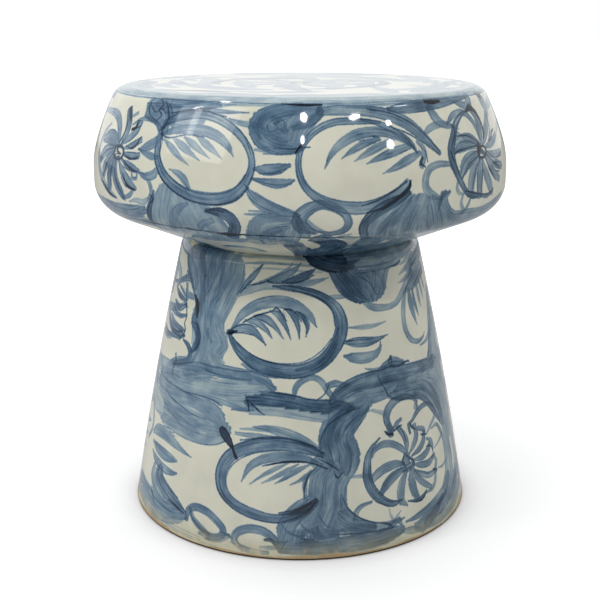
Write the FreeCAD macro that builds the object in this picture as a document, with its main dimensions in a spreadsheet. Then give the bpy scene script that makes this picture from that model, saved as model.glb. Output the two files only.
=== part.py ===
"""Mushroom-shaped ceramic garden stool: a hollow pillow seat luted onto a flared hollow pedestal.

Every clay piece is a body of revolution about +Z. The origin is on the floor, at the middle of the
foot. Each cross-section is a sketch with the radius along x and the height along y, in millimetres.
"""

import FreeCAD, Part

import math
import os

import Sketcher

# Driving dimensions in millimetres, and what each one measures
SIZES = {
    "pedestal_height": (292.5, "floor to the crease where pedestal and seat meet"),
    "seat_radius": (215.0, "widest radius, at the belly of the seat"),
    "side_run": (38.5, "how far the flat top's edge lies inside the belly"),
    "side_rise": (84.5, "upper edge of the belly band to the flat top"),
    "corner_radius": (18.0, "rounding between flat top and side"),
    "shoulder_radius": (339.0, "flatter upper stretch of the side"),
    "upper_roll_rise": (32.7, "height of the rounding above the belly"),
    "belly_band": (12.0, "height of the upright band at the belly"),
    "belly_rise": (61.0, "crease to the lower edge of the belly band"),
    "lower_roll_radius": (31.5, "tight rounding under the belly"),
    "neck_radius": (118.0, "radius of the crease"),
    "wall": (8.0, "clay thickness of the seat side, underside and pedestal"),
    "seam_setback": (11.6, "degrees from the rim seam to where the underside turns straight"),
    "disc_thickness": (9.0, "clay slab that closes the top"),
    "disc_inset": (4.5, "flat land between the slab's edge and the rounded corner"),
    "gallery_width": (8.0, "ledge that carries the slab"),
    "gallery_depth": (8.0, "height of that ledge"),
    "bevel_width": (12.0, "bevel at the crease, out from the pedestal's collar"),
    "spigot_wall": (8.0, "clay thickness of that collar"),
    "spigot_rise": (14.0, "collar above the crease"),
    "collar_throat": (14.0, "crease down to the lower end of the collar's bore"),
    "collar_depth": (31.0, "crease down to where the wall starts to thicken"),
    "shoulder_drop": (10.5, "crease down to where the pedestal's shoulder ends"),
    "shoulder_reach": (9.7, "how far that shoulder stands out beyond the crease"),
    "pedestal_bow": (4000.0, "radius of the slightly bellied pedestal side"),
    "pedestal_base_radius": (181.8, "pedestal where it stands on the foot ring"),
    "foot_height": (12.0, "bare clay foot ring"),
    "foot_flare": (2.2, "how far the foot ring stands out at the floor"),
    "foot_inset": (13.8, "how far the foot ring reaches in under the wall"),
    "foot_edge": (2.0, "wiped bevel at the floor"),
    "top_coil": (8.0, "clay coil pressed under the top slab"),
    "rim_coil": (6.8, "radius of the clay coil over the rim seam"),
    "rim_coil_reach": (18.0, "degrees from the rim seam to that coil's upper edge"),
    "rim_coil_gap": (0.3, "slip between that coil and the clay under it"),
    "neck_coil": (9.0, "clay coil round the collar inside the seat"),
    "foot_coil": (6.0, "clay coil inside the foot seam"),
}

SHEET = "Dims"
START, END, MIDDLE = range(1, 4)  # the places on an edge that a sketch can tie

doc = FreeCAD.newDocument("GardenStool")


def make_sheet():
    """The spreadsheet of driving dimensions."""
    sheet = doc.addObject("Spreadsheet::Sheet", SHEET)
    for row, (name, (value, meaning)) in enumerate(SIZES.items(), start=1):
        sheet.set(f"A{row}", str(value))
        sheet.setAlias(f"A{row}", name)
        sheet.set(f"B{row}", meaning)
    doc.recompute()


def size(name):
    """A driving dimension, as a number."""
    return SIZES[name][0]


def cell(name):
    """The same dimension, as an expression."""
    return f"{SHEET}.{name}"


# Heights and radii that several pieces share, each as an expression
BELLY = f"({cell('pedestal_height')} + {cell('belly_rise')} + {cell('belly_band')})"
TOP = f"({BELLY} + {cell('side_rise')})"
LEDGE = f"({TOP} - {cell('disc_thickness')})"
FLAT_RADIUS = f"({cell('seat_radius')} - {cell('side_run')})"
DISC_RADIUS = f"({FLAT_RADIUS} - {cell('disc_inset')})"
GALLERY_RADIUS = f"({DISC_RADIUS} - {cell('gallery_width')})"
ROLL_X = f"({cell('seat_radius')} - {cell('lower_roll_radius')})"
ROLL_Y = f"({cell('pedestal_height')} + {cell('belly_rise')})"
ROLL_REACH = f"({ROLL_X} - {cell('neck_radius')})"
SLOPE = (
    f"(atan({cell('belly_rise')} / {ROLL_REACH})"
    f" - asin({cell('lower_roll_radius')} / hypot({ROLL_REACH}; {cell('belly_rise')})))"
)
SEAM_ANGLE = f"(90deg - {SLOPE} - {cell('seam_setback')} * 1deg)"
SPIGOT_RADIUS = f"({cell('neck_radius')} - {cell('bevel_width')})"


class Point(tuple):
    """A place in the cross-section: radius and height."""

    def __new__(cls, radius, height):
        return super().__new__(cls, (radius, height))

    def along(self, angle, distance):
        """The place that lies that far away in that direction, in radians."""
        return Point(self[0] + distance * math.cos(angle), self[1] + distance * math.sin(angle))

    def vector(self):
        return FreeCAD.Vector(self[0], self[1], 0)


def halve(error, low, high):
    """Where a rising error crosses nought between two values, by halving."""
    for _ in range(60):
        middle = (low + high) / 2
        if error(middle) < 0:
            low = middle
        else:
            high = middle
    return (low + high) / 2


def bearing(start, end):
    """The direction from one place to another, in radians."""
    return math.atan2(end[1] - start[1], end[0] - start[0])


class Form:
    """The places of the stool's outline that follow from the driving dimensions."""

    def __init__(self):
        self.crease = Point(size("neck_radius"), size("pedestal_height"))
        belly_low = size("pedestal_height") + size("belly_rise")
        belly_high = belly_low + size("belly_band")
        self.top = belly_high + size("side_rise")
        self.flat_radius = size("seat_radius") - size("side_run")
        self.disc_radius = self.flat_radius - size("disc_inset")
        self.ledge = self.top - size("disc_thickness")
        self.gallery_radius = self.disc_radius - size("gallery_width")
        self.roll = Point(size("seat_radius") - size("lower_roll_radius"), belly_low)
        self.corner = Point(self.flat_radius, self.top - size("corner_radius"))
        self.upper_angle = halve(self.side_gap, 0, math.pi / 4)
        self.corner_angle = self.lean_at_corner(self.upper_angle)
        self.upper_radius = size("upper_roll_rise") / math.sin(self.upper_angle)
        self.upper = Point(size("seat_radius") - self.upper_radius, belly_high)
        self.shoulder = self.corner.along(
            self.corner_angle + math.pi, size("shoulder_radius") - size("corner_radius")
        )
        reach = self.roll[0] - self.crease[0]
        rise = size("belly_rise")
        self.slope = math.atan2(rise, reach) - math.asin(
            size("lower_roll_radius") / math.hypot(reach, rise)
        )
        self.turn_angle = math.pi / 2 - self.slope
        self.seam_angle = self.turn_angle - math.radians(size("seam_setback"))
        self.spigot_radius = size("neck_radius") - size("bevel_width")
        self.seat_heel = self.crease.along(
            self.slope + math.pi, size("bevel_width") / math.cos(self.slope)
        )
        self.inner_heel = Point(
            self.seat_heel[0], self.seat_heel[1] + size("wall") / math.cos(self.slope)
        )
        self.pedestal_top = Point(
            size("neck_radius") + size("shoulder_reach"),
            size("pedestal_height") - size("shoulder_drop"),
        )
        self.pedestal_base = Point(size("pedestal_base_radius"), size("foot_height"))
        self.bow = self.bow_centre()

    def lean_at_corner(self, upper_angle):
        """The side's lean where it meets the corner, for a lean where its shoulder begins."""
        radius = size("shoulder_radius")
        climb = size("side_rise") - size("corner_radius") - size("upper_roll_rise")
        return math.asin((climb + radius * math.sin(upper_angle)) / (radius - size("corner_radius")))

    def side_gap(self, upper_angle):
        """How far a side that starts its shoulder at that lean ends inside the flat top's edge."""
        radius = size("shoulder_radius")
        corner_angle = self.lean_at_corner(upper_angle)
        roll = size("upper_roll_rise") * math.tan(upper_angle / 2)
        shoulder = radius * math.cos(upper_angle)
        corner = (radius - size("corner_radius")) * math.cos(corner_angle)
        return shoulder - corner + roll - size("side_run")

    def bow_centre(self):
        """The centre of the slightly bellied side of the pedestal, far off beyond the axis."""
        chord = math.dist(self.pedestal_top, self.pedestal_base)
        middle = Point(
            (self.pedestal_top[0] + self.pedestal_base[0]) / 2,
            (self.pedestal_top[1] + self.pedestal_base[1]) / 2,
        )
        inward = bearing(self.pedestal_base, self.pedestal_top) + math.pi / 2
        return middle.along(inward, math.sqrt(size("pedestal_bow") ** 2 - chord**2 / 4))

    def on_bow(self, height, depth=0.0):
        """The place on the pedestal's side, or that deep inside its clay, at a height."""
        radius = size("pedestal_bow") - depth
        return Point(self.bow[0] + math.sqrt(radius**2 - (height - self.bow[1]) ** 2), height)


class Section:
    """A closed cross-section, drawn edge by edge in a sketch of its own body."""

    def __init__(self, label):
        self.body = doc.addObject("PartDesign::Body", label)
        self.body.Label = label
        self.sketch = self.body.newObject("Sketcher::SketchObject", f"{label}_section")
        planes = self.body.Origin.OriginFeatures
        plane = next(f for f in planes if f.Role == "XZ_Plane")
        self.sketch.AttachmentSupport = [(plane, "")]
        self.sketch.MapMode = "FlatFace"
        self.names = 0

    def line(self, start, end):
        """A straight edge. It returns the edge's number."""
        return self.sketch.addGeometry(Part.LineSegment(start.vector(), end.vector()))

    def arc(self, centre, radius, first, last):
        """An arc that runs counter-clockwise between two angles, in radians."""
        circle = Part.Circle(centre.vector(), FreeCAD.Vector(0, 0, 1), radius)
        return self.sketch.addGeometry(Part.ArcOfCircle(circle, first, last))

    def guide(self, place):
        """A construction point."""
        return self.sketch.addGeometry(Part.Point(place.vector()), True)

    def rule(self, kind, *what):
        """A constraint without a value."""
        return self.sketch.addConstraint(Sketcher.Constraint(kind, *what))

    def measure(self, kind, *what, is_now, follows):
        """A constraint whose value follows an expression."""
        number = self.sketch.addConstraint(Sketcher.Constraint(kind, *what, is_now))
        self.names += 1
        name = f"{kind.lower()}_{self.names}"
        self.sketch.renameConstraint(number, name)
        self.sketch.setExpression(f"Constraints.{name}", follows)

    def place(self, edge, end, point, radius=None, height=None):
        """Ties one end of an edge to a radius and a height."""
        if radius is not None:
            self.measure("DistanceX", -1, START, edge, end, is_now=point[0], follows=radius)
        if height is not None:
            self.measure("DistanceY", -1, START, edge, end, is_now=point[1], follows=height)

    def radius(self, edge, name):
        """Ties an arc's radius to a driving dimension."""
        self.measure("Radius", edge, is_now=size(name), follows=cell(name))

    def join(self, *ends):
        """Joins pairs of edge ends: each item is (edge, end, edge, end)."""
        for first, end, second, other in ends:
            self.rule("Coincident", first, end, second, other)

    def smooth(self, *ends):
        """Joins pairs of edge ends so that one edge runs smoothly into the next."""
        for first, end, second, other in ends:
            self.rule("Tangent", first, end, second, other)

    def revolve(self):
        """Turns the finished cross-section once round the stool's axis."""
        doc.recompute()
        if not self.sketch.FullyConstrained:
            raise ValueError(f"{self.sketch.Label} is not fully constrained: {self.sketch.solve()}")
        turned = self.body.newObject("PartDesign::Revolution", f"{self.body.Label}_turned")
        turned.Profile = self.sketch
        turned.ReferenceAxis = (self.sketch, ["V_Axis"])
        turned.Angle = 360
        self.body.Tip = turned
        return self.body


def seat_top_disc(form):
    """The round slab that closes the seat, flush with the top and resting on the gallery."""
    section = Section("seat_top_disc")
    low, high = Point(0, form.ledge), Point(0, form.top)
    rim_low, rim_high = Point(form.disc_radius, form.ledge), Point(form.disc_radius, form.top)
    base = section.line(low, rim_low)
    rim = section.line(rim_low, rim_high)
    top = section.line(rim_high, high)
    axis = section.line(high, low)
    section.join((base, END, rim, START), (rim, END, top, START))
    section.join((top, END, axis, START), (axis, END, base, START))
    for edge in (base, top):
        section.rule("Horizontal", edge)
    section.rule("Vertical", rim)
    section.rule("PointOnObject", axis, START, -2)
    section.rule("PointOnObject", axis, END, -2)
    section.place(rim, START, rim_low, radius=DISC_RADIUS, height=LEDGE)
    section.place(rim, END, rim_high, height=TOP)
    return section.revolve()


def seat_side_wall(form):
    """The pillow-shaped side, with the gallery for the slab at the top and the rim seam below."""
    wall = size("wall")
    high = form.top
    land = Point(form.disc_radius, high)
    section = Section("seat_side_wall")
    flat = section.line(land, Point(form.corner[0], high))
    corner = section.arc(form.corner, size("corner_radius"), form.corner_angle, math.pi / 2)
    shoulder = section.arc(
        form.shoulder, size("shoulder_radius"), form.upper_angle, form.corner_angle
    )
    upper = section.arc(form.upper, form.upper_radius, 0, form.upper_angle)
    belly = section.line(
        Point(size("seat_radius"), form.upper[1]), Point(size("seat_radius"), form.roll[1])
    )
    roll = section.arc(form.roll, size("lower_roll_radius"), -form.seam_angle, 0)
    seam_out = form.roll.along(-form.seam_angle, size("lower_roll_radius"))
    seam_in = form.roll.along(-form.seam_angle, size("lower_roll_radius") - wall)
    seam = section.line(seam_out, seam_in)
    inner_roll = section.arc(form.roll, size("lower_roll_radius") - wall, -form.seam_angle, 0)
    inside = size("seat_radius") - wall
    inner_belly = section.line(Point(inside, form.roll[1]), Point(inside, form.upper[1]))
    inner_upper = section.arc(form.upper, form.upper_radius - wall, 0, form.upper_angle)
    gallery_low = form.ledge - size("gallery_depth")
    inner_radius = size("shoulder_radius") - wall
    gallery_angle = math.asin((gallery_low - form.shoulder[1]) / inner_radius)
    inner_shoulder = section.arc(form.shoulder, inner_radius, form.upper_angle, gallery_angle)
    root = form.shoulder.along(gallery_angle, inner_radius)
    lip_low = Point(form.gallery_radius, gallery_low)
    lip_high = Point(form.gallery_radius, form.ledge)
    step = Point(form.disc_radius, form.ledge)
    gallery = section.line(root, lip_low)
    lip = section.line(lip_low, lip_high)
    ledge = section.line(lip_high, step)
    rebate = section.line(step, land)

    section.smooth((flat, END, corner, END), (corner, START, shoulder, END))
    section.smooth((shoulder, START, upper, END), (upper, START, belly, START))
    section.smooth((belly, END, roll, END), (inner_roll, END, inner_belly, START))
    section.smooth((inner_belly, END, inner_upper, START))
    section.smooth((inner_upper, END, inner_shoulder, START))
    section.join((roll, START, seam, START), (seam, END, inner_roll, START))
    section.join((inner_shoulder, END, gallery, START), (gallery, END, lip, START))
    section.join((lip, END, ledge, START), (ledge, END, rebate, START), (rebate, END, flat, START))
    section.join((inner_roll, MIDDLE, roll, MIDDLE), (inner_upper, MIDDLE, upper, MIDDLE))
    section.join((inner_shoulder, MIDDLE, shoulder, MIDDLE))
    for edge in (flat, gallery, ledge):
        section.rule("Horizontal", edge)
    for edge in (belly, inner_belly, lip, rebate):
        section.rule("Vertical", edge)
    section.rule("PointOnObject", roll, MIDDLE, seam)
    for edge, name in (
        (corner, "corner_radius"),
        (shoulder, "shoulder_radius"),
        (roll, "lower_roll_radius"),
    ):
        section.radius(edge, name)
    section.place(flat, START, land, radius=DISC_RADIUS, height=TOP)
    section.place(corner, MIDDLE, form.corner, radius=FLAT_RADIUS)
    section.place(
        upper,
        END,
        form.upper.along(form.upper_angle, form.upper_radius),
        height=f"{BELLY} + {cell('upper_roll_rise')}",
    )
    section.place(belly, START, Point(size("seat_radius"), 0), radius=cell("seat_radius"))
    section.place(roll, MIDDLE, form.roll, height=ROLL_Y)
    section.measure(
        "Distance", belly, is_now=size("belly_band"), follows=cell("belly_band")
    )
    section.measure(
        "Angle", roll, is_now=form.seam_angle, follows=SEAM_ANGLE
    )
    section.measure(
        "Distance", seam, is_now=wall, follows=cell("wall")
    )
    section.place(lip, END, lip_high, radius=GALLERY_RADIUS, height=LEDGE)
    section.measure(
        "Distance", lip, is_now=size("gallery_depth"), follows=cell("gallery_depth")
    )
    return section.revolve()


def seat_underside_dish(form):
    """The shallow dish under the seat, from the rim seam down to its opening over the neck."""
    wall = size("wall")
    outer, inner = size("lower_roll_radius"), size("lower_roll_radius") - wall
    section = Section("seat_underside_dish")
    roll = section.arc(form.roll, outer, -form.turn_angle, -form.seam_angle)
    turn = form.roll.along(-form.turn_angle, outer)
    inner_turn = form.roll.along(-form.turn_angle, inner)
    under = section.line(turn, form.seat_heel)
    opening = section.line(form.seat_heel, form.inner_heel)
    inside = section.line(form.inner_heel, inner_turn)
    inner_roll = section.arc(form.roll, inner, -form.turn_angle, -form.seam_angle)
    seam = section.line(
        form.roll.along(-form.seam_angle, inner), form.roll.along(-form.seam_angle, outer)
    )
    crease = section.guide(form.crease)

    section.smooth((roll, START, under, START), (inside, END, inner_roll, START))
    section.join((under, END, opening, START), (opening, END, inside, START))
    section.join((inner_roll, END, seam, START), (seam, END, roll, END))
    section.join((inner_roll, MIDDLE, roll, MIDDLE))
    section.rule("Vertical", opening)
    section.rule("Parallel", under, inside)
    section.rule("PointOnObject", crease, START, under)
    section.rule("PointOnObject", roll, MIDDLE, seam)
    section.radius(roll, "lower_roll_radius")
    section.place(
        crease, START, form.crease, radius=cell("neck_radius"), height=cell("pedestal_height")
    )
    section.place(roll, MIDDLE, form.roll, radius=ROLL_X, height=ROLL_Y)
    section.place(under, END, form.seat_heel, radius=SPIGOT_RADIUS)
    section.measure("Distance", seam, is_now=wall, follows=cell("wall"))
    section.measure(
        "Angle",
        roll,
        is_now=form.turn_angle - form.seam_angle,
        follows=f"{cell('seam_setback')} * 1deg",
    )
    return section.revolve()


def pedestal_wall(form):
    """The flared hollow pedestal, bellied a little, with the collar that the seat drops over."""
    wall = size("wall")
    bore = form.spigot_radius - size("spigot_wall")
    low = form.pedestal_base
    rise = Point(form.spigot_radius, size("pedestal_height") + size("spigot_rise"))
    bore_high, bore_low = Point(bore, rise[1]), Point(bore, form.crease[1] - size("collar_throat"))
    thick = form.on_bow(size("pedestal_height") - size("collar_depth"), wall)
    inner_low = form.on_bow(low[1], wall)
    section = Section("pedestal_wall")
    side = section.arc(
        form.bow,
        size("pedestal_bow"),
        bearing(form.bow, low),
        bearing(form.bow, form.pedestal_top),
    )
    shoulder = section.arc(*arc_from_tangent(form))
    seat = section.line(form.crease, form.seat_heel)
    spigot = section.line(form.seat_heel, rise)
    rim = section.line(rise, bore_high)
    throat = section.line(bore_high, bore_low)
    funnel = section.line(bore_low, thick)
    inside = section.arc(
        form.bow,
        size("pedestal_bow") - wall,
        bearing(form.bow, inner_low),
        bearing(form.bow, thick),
    )
    base = section.line(inner_low, low)

    section.smooth((side, END, shoulder, START))
    section.join((shoulder, END, seat, START), (seat, END, spigot, START))
    section.join((spigot, END, rim, START), (rim, END, throat, START))
    section.join((throat, END, funnel, START), (funnel, END, inside, END))
    section.join((inside, START, base, START), (base, END, side, START))
    section.join((inside, MIDDLE, side, MIDDLE))
    for edge in (rim, base):
        section.rule("Horizontal", edge)
    for edge in (spigot, throat):
        section.rule("Vertical", edge)
    section.radius(side, "pedestal_bow")
    section.measure(
        "Radius",
        inside,
        is_now=size("pedestal_bow") - wall,
        follows=f"{cell('pedestal_bow')} - {cell('wall')}",
    )
    section.place(
        side,
        START,
        low,
        radius=cell("pedestal_base_radius"),
        height=cell("foot_height"),
    )
    section.place(
        side,
        END,
        form.pedestal_top,
        radius=f"{cell('neck_radius')} + {cell('shoulder_reach')}",
        height=f"{cell('pedestal_height')} - {cell('shoulder_drop')}",
    )
    section.place(
        seat, START, form.crease, radius=cell("neck_radius"), height=cell("pedestal_height")
    )
    section.measure(
        "Angle", seat, is_now=form.slope - math.pi, follows=f"{SLOPE} - 180deg"
    )
    section.place(
        spigot,
        END,
        rise,
        radius=SPIGOT_RADIUS,
        height=f"{cell('pedestal_height')} + {cell('spigot_rise')}",
    )
    section.measure(
        "Distance", rim, is_now=size("spigot_wall"), follows=cell("spigot_wall")
    )
    section.place(
        throat, END, bore_low, height=f"{cell('pedestal_height')} - {cell('collar_throat')}"
    )
    section.place(
        inside, END, thick, height=f"{cell('pedestal_height')} - {cell('collar_depth')}"
    )
    return section.revolve()


def arc_from_tangent(form):
    """The pedestal's rounded shoulder: it leaves the side smoothly and ends at the crease."""
    start, end = form.pedestal_top, form.crease
    outward = bearing(form.bow, start)
    lean = bearing(start, end) - (outward + math.pi / 2)
    radius = math.dist(start, end) / (2 * math.sin(lean))
    centre = start.along(outward + math.pi, radius)
    return centre, radius, outward, outward + 2 * lean


def foot_ring(form):
    """The bare clay ring that the stool stands on, with a wiped bevel at the floor."""
    edge = size("foot_edge")
    low = 0.0
    out = size("pedestal_base_radius") + size("foot_flare")
    inner = size("pedestal_base_radius") - size("foot_inset")
    out_rule = f"{cell('pedestal_base_radius')} + {cell('foot_flare')}"
    section = Section("foot_ring")
    floor = section.line(Point(inner, low), Point(out - edge, low))
    bevel = section.line(Point(out - edge, low), Point(out, edge))
    side = section.line(Point(out, edge), form.pedestal_base)
    top = section.line(form.pedestal_base, Point(inner, size("foot_height")))
    bore = section.line(Point(inner, size("foot_height")), Point(inner, low))
    section.join((floor, END, bevel, START), (bevel, END, side, START), (side, END, top, START))
    section.join((top, END, bore, START), (bore, END, floor, START))
    for level in (floor, top):
        section.rule("Horizontal", level)
    section.rule("Vertical", bore)
    section.place(
        bore,
        END,
        Point(inner, low),
        radius=f"{cell('pedestal_base_radius')} - {cell('foot_inset')}",
    )
    section.rule("PointOnObject", bore, END, -1)
    section.place(
        bevel, START, Point(out - edge, low), radius=f"{out_rule} - {cell('foot_edge')}"
    )
    section.place(bevel, END, Point(out, edge), radius=out_rule, height=cell("foot_edge"))
    section.place(
        top,
        START,
        form.pedestal_base,
        radius=cell("pedestal_base_radius"),
        height=cell("foot_height"),
    )
    return section.revolve()


def corner_coil(label, corner, thickness, first, last, radius, height):
    """A clay coil pressed into an inside corner: two faces along the clay, one rounded.

    first and last are (angle, expression): the directions of its two flat faces.
    """
    section = Section(label)
    reach = size(thickness)
    one = section.line(corner, corner.along(first[0], reach))
    round_face = section.arc(corner, reach, first[0], last[0])
    two = section.line(corner.along(last[0], reach), corner)
    section.join((one, END, round_face, START), (round_face, END, two, START))
    section.join((two, END, one, START), (round_face, MIDDLE, one, START))
    section.place(one, START, corner, radius=radius, height=height)
    section.radius(round_face, thickness)
    section.measure("Angle", one, is_now=first[0], follows=first[1])
    section.measure(
        "Angle", round_face, is_now=last[0] - first[0], follows=f"{last[1]} - {first[1]}"
    )
    return section.revolve()


def top_seam_coil(form):
    """The coil in the corner between the gallery's lip and the slab above it."""
    return corner_coil(
        "top_seam_coil",
        Point(form.gallery_radius, form.ledge),
        "top_coil",
        (math.pi, "180deg"),
        (1.5 * math.pi, "270deg"),
        GALLERY_RADIUS,
        LEDGE,
    )


def neck_seam_coil(form):
    """The coil on the dish, round the collar of the pedestal."""
    heel = (
        f"{cell('pedestal_height')}"
        f" - {cell('bevel_width')} * tan({SLOPE})"
        f" + {cell('wall')} / cos({SLOPE})"
    )
    return corner_coil(
        "neck_seam_coil",
        form.inner_heel,
        "neck_coil",
        (form.slope, SLOPE),
        (math.pi / 2, "90deg"),
        SPIGOT_RADIUS,
        heel,
    )


def foot_seam_coil(form):
    """The coil on the foot ring, against the inside of the pedestal."""
    corner = form.on_bow(size("foot_height"), size("wall"))
    top = form.on_bow(size("foot_height") + size("foot_coil"), size("wall"))
    section = Section("foot_seam_coil")
    bow_radius = size("pedestal_bow") - size("wall")
    inner = Point(corner[0] - size("foot_coil"), corner[1])
    side = section.arc(form.bow, bow_radius, bearing(form.bow, corner), bearing(form.bow, top))
    bed = section.line(inner, corner)
    centre, radius, first, last = arc_between(top, inner, corner, size("foot_coil"))
    round_face = section.arc(centre, radius, first, last)
    section.join((bed, END, side, START), (side, END, round_face, START))
    section.join((round_face, END, bed, START))
    section.rule("Horizontal", bed)
    guide = section.guide(form.pedestal_top)
    outer = section.arc(
        form.bow,
        size("pedestal_bow"),
        bearing(form.bow, form.pedestal_base),
        bearing(form.bow, form.pedestal_top),
    )
    section.sketch.toggleConstruction(outer)
    section.join((outer, END, guide, START), (outer, MIDDLE, side, MIDDLE))
    section.place(
        guide,
        START,
        form.pedestal_top,
        radius=f"{cell('neck_radius')} + {cell('shoulder_reach')}",
        height=f"{cell('pedestal_height')} - {cell('shoulder_drop')}",
    )
    section.place(
        outer,
        START,
        form.pedestal_base,
        radius=cell("pedestal_base_radius"),
        height=cell("foot_height"),
    )
    section.radius(outer, "pedestal_bow")
    section.measure(
        "Radius",
        side,
        is_now=bow_radius,
        follows=f"{cell('pedestal_bow')} - {cell('wall')}",
    )
    section.place(bed, END, corner, height=cell("foot_height"))
    section.measure("Distance", bed, is_now=size("foot_coil"), follows=cell("foot_coil"))
    section.place(
        side, END, top, height=f"{cell('foot_height')} + {cell('foot_coil')}"
    )
    section.radius(round_face, "foot_coil")
    return section.revolve()


def arc_between(first, second, far, radius):
    """The centre, radius and angles of an arc from one place to another that bulges away from far."""
    half = math.dist(first, second) / 2
    middle = Point((first[0] + second[0]) / 2, (first[1] + second[1]) / 2)
    towards = bearing(middle, far)
    centre = middle.along(towards, math.sqrt(radius**2 - half**2))
    start, stop = bearing(centre, first), bearing(centre, second)
    if stop < start:
        stop += 2 * math.pi
    return centre, radius, start, stop


def rim_seam_coil(form):
    """The coil over the rim seam, inside the seat: it follows the lower roll's inner face."""
    inner = size("lower_roll_radius") - size("wall") - size("rim_coil_gap")
    far_angle = math.radians(size("rim_coil_reach")) - form.seam_angle
    first = form.roll.along(-form.turn_angle, inner)
    last = form.roll.along(far_angle, inner)
    section = Section("rim_seam_coil")
    bed = section.arc(form.roll, inner, -form.turn_angle, far_angle)
    centre, radius, start, stop = arc_between(
        last, first, form.roll.along(-form.seam_angle, 2 * inner), size("rim_coil")
    )
    round_face = section.arc(centre, radius, start, stop)
    spoke = section.line(form.roll, first)
    section.sketch.toggleConstruction(spoke)
    section.join((bed, START, round_face, END), (bed, END, round_face, START))
    section.join((spoke, START, bed, MIDDLE), (spoke, END, bed, START))
    section.place(bed, MIDDLE, form.roll, radius=ROLL_X, height=ROLL_Y)
    section.measure(
        "Radius",
        bed,
        is_now=inner,
        follows=f"{cell('lower_roll_radius')} - {cell('wall')} - {cell('rim_coil_gap')}",
    )
    section.measure(
        "Angle",
        bed,
        is_now=form.turn_angle + far_angle,
        follows=f"({cell('seam_setback')} + {cell('rim_coil_reach')}) * 1deg",
    )
    section.measure("Angle", spoke, is_now=-form.turn_angle, follows=f"{SLOPE} - 90deg")
    section.radius(round_face, "rim_coil")
    return section.revolve()


def check_and_export(bodies):
    """Stops on a failed object or a bad solid, and otherwise writes one STEP file for each body."""
    doc.recompute()
    for thing in doc.Objects:
        if {"Invalid", "Error"} & set(thing.State):
            raise ValueError(f"{thing.Label} failed: {thing.State}")
    os.makedirs("parts", exist_ok=True)
    for body in bodies:
        shape = body.Shape
        if shape.isNull() or not shape.isValid() or len(shape.Solids) != 1:
            raise ValueError(f"{body.Label} is not one valid solid")
        shape.exportStep(f"parts/{body.Label}.step")
        print(f"{body.Label}: {shape.Volume / 1000:.0f} cm3")


make_sheet()
stool = Form()
check_and_export(
    [
        piece(stool)
        for piece in (
            seat_top_disc,
            seat_side_wall,
            seat_underside_dish,
            pedestal_wall,
            foot_ring,
            top_seam_coil,
            rim_seam_coil,
            neck_seam_coil,
            foot_seam_coil,
        )
    ]
)
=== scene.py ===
"""The looks of a mushroom-shaped ceramic garden stool, painted in blue under a clear glaze."""

import math
from typing import NamedTuple

import bpy
import numpy as np
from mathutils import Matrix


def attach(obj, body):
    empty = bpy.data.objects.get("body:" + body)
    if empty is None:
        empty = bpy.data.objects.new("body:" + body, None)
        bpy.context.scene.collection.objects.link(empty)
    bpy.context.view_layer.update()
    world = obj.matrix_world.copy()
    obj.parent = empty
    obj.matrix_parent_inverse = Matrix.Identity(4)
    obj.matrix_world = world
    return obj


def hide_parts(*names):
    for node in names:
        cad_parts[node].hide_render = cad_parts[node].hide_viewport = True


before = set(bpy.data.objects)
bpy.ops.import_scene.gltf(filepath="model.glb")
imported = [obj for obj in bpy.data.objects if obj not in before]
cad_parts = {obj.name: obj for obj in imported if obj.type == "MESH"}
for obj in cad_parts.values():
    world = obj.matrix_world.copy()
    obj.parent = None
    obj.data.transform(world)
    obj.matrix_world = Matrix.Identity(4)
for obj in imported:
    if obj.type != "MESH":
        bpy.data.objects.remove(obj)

bl_info = {
    "name": "Painted ceramic garden stool",
    "version": (1, 0, 0),
    "blender": (4, 5, 0),
    "location": "3D View > Sidebar > Garden Stool",
    "description": "Builds a garden stool with a brush-painted glaze, and the stage it stands on",
    "category": "Add Mesh",
}

MM = 0.001

# The seat's outline, in metres, beside the sizes that StoolSizes holds
ROLL_RADIUS = 0.0315  # the round between the dish and the belly
ROLL_RISE = 0.061  # from the crease up to that round's centre
BELLY_RISE = 0.073  # from the crease up to where the belly ends
UPPER_RISE = 0.0327  # the height of the arc above the belly
SHOULDER_RADIUS = 0.339
CORNER_RADIUS = 0.018
SEAM_DEGREES = 11.6  # how far up the round the seam of the dish lies
SLAB = 0.009
LEDGE = 0.008
NECK_LAP = 0.012  # how far the dish and the pedestal reach in past the crease

# The pedestal and its foot ring, in metres
BOW_RADIUS = 4.0
BOW_END_OUT = 0.0097  # where the long bow ends, outwards and down from the crease
BOW_END_DOWN = 0.0105
COLLAR_RISE = 0.014
COLLAR_WALL = 0.008
THICK_END = 0.031  # how far below the crease the wall has its even thickness
FOOT_HEIGHT = 0.012
FOOT_WIDTH = 0.0138
FOOT_SWELL = 0.0002
FOOT_ROUND = 0.002

# The brush, with its lengths in millimetres
LAYERS = 9
STEP = 2.5  # between the points of a smoothed route
THINNEST = 0.3
BROAD_SOFT = 5.5  # half the width above which a stroke counts as a broad wash
BROAD_RIMMED = 7.4
RIMMED = 0.25  # the edge above which a stroke's rim shows
WET = 4.5  # how far beyond a stroke's edge its paint is still worked out
UNPAINTED = -30.0  # depths inside a stroke, which are below nothing outside its edge
OVERLAP = -3.0
COVERED = -2.5
STROKE_GAP = 97.0  # how far apart two strokes lie in the noise that makes the hairs
SKIN = 0.4  # how far from the outline a place still belongs to the painted skin

# How red, green and blue sink with the amount of pigment, and with its square
PIGMENT = ((1.80, 0.1), (1.22, 0.16), (0.59, 0.28))
MOST_PIGMENT = 4.0

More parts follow.
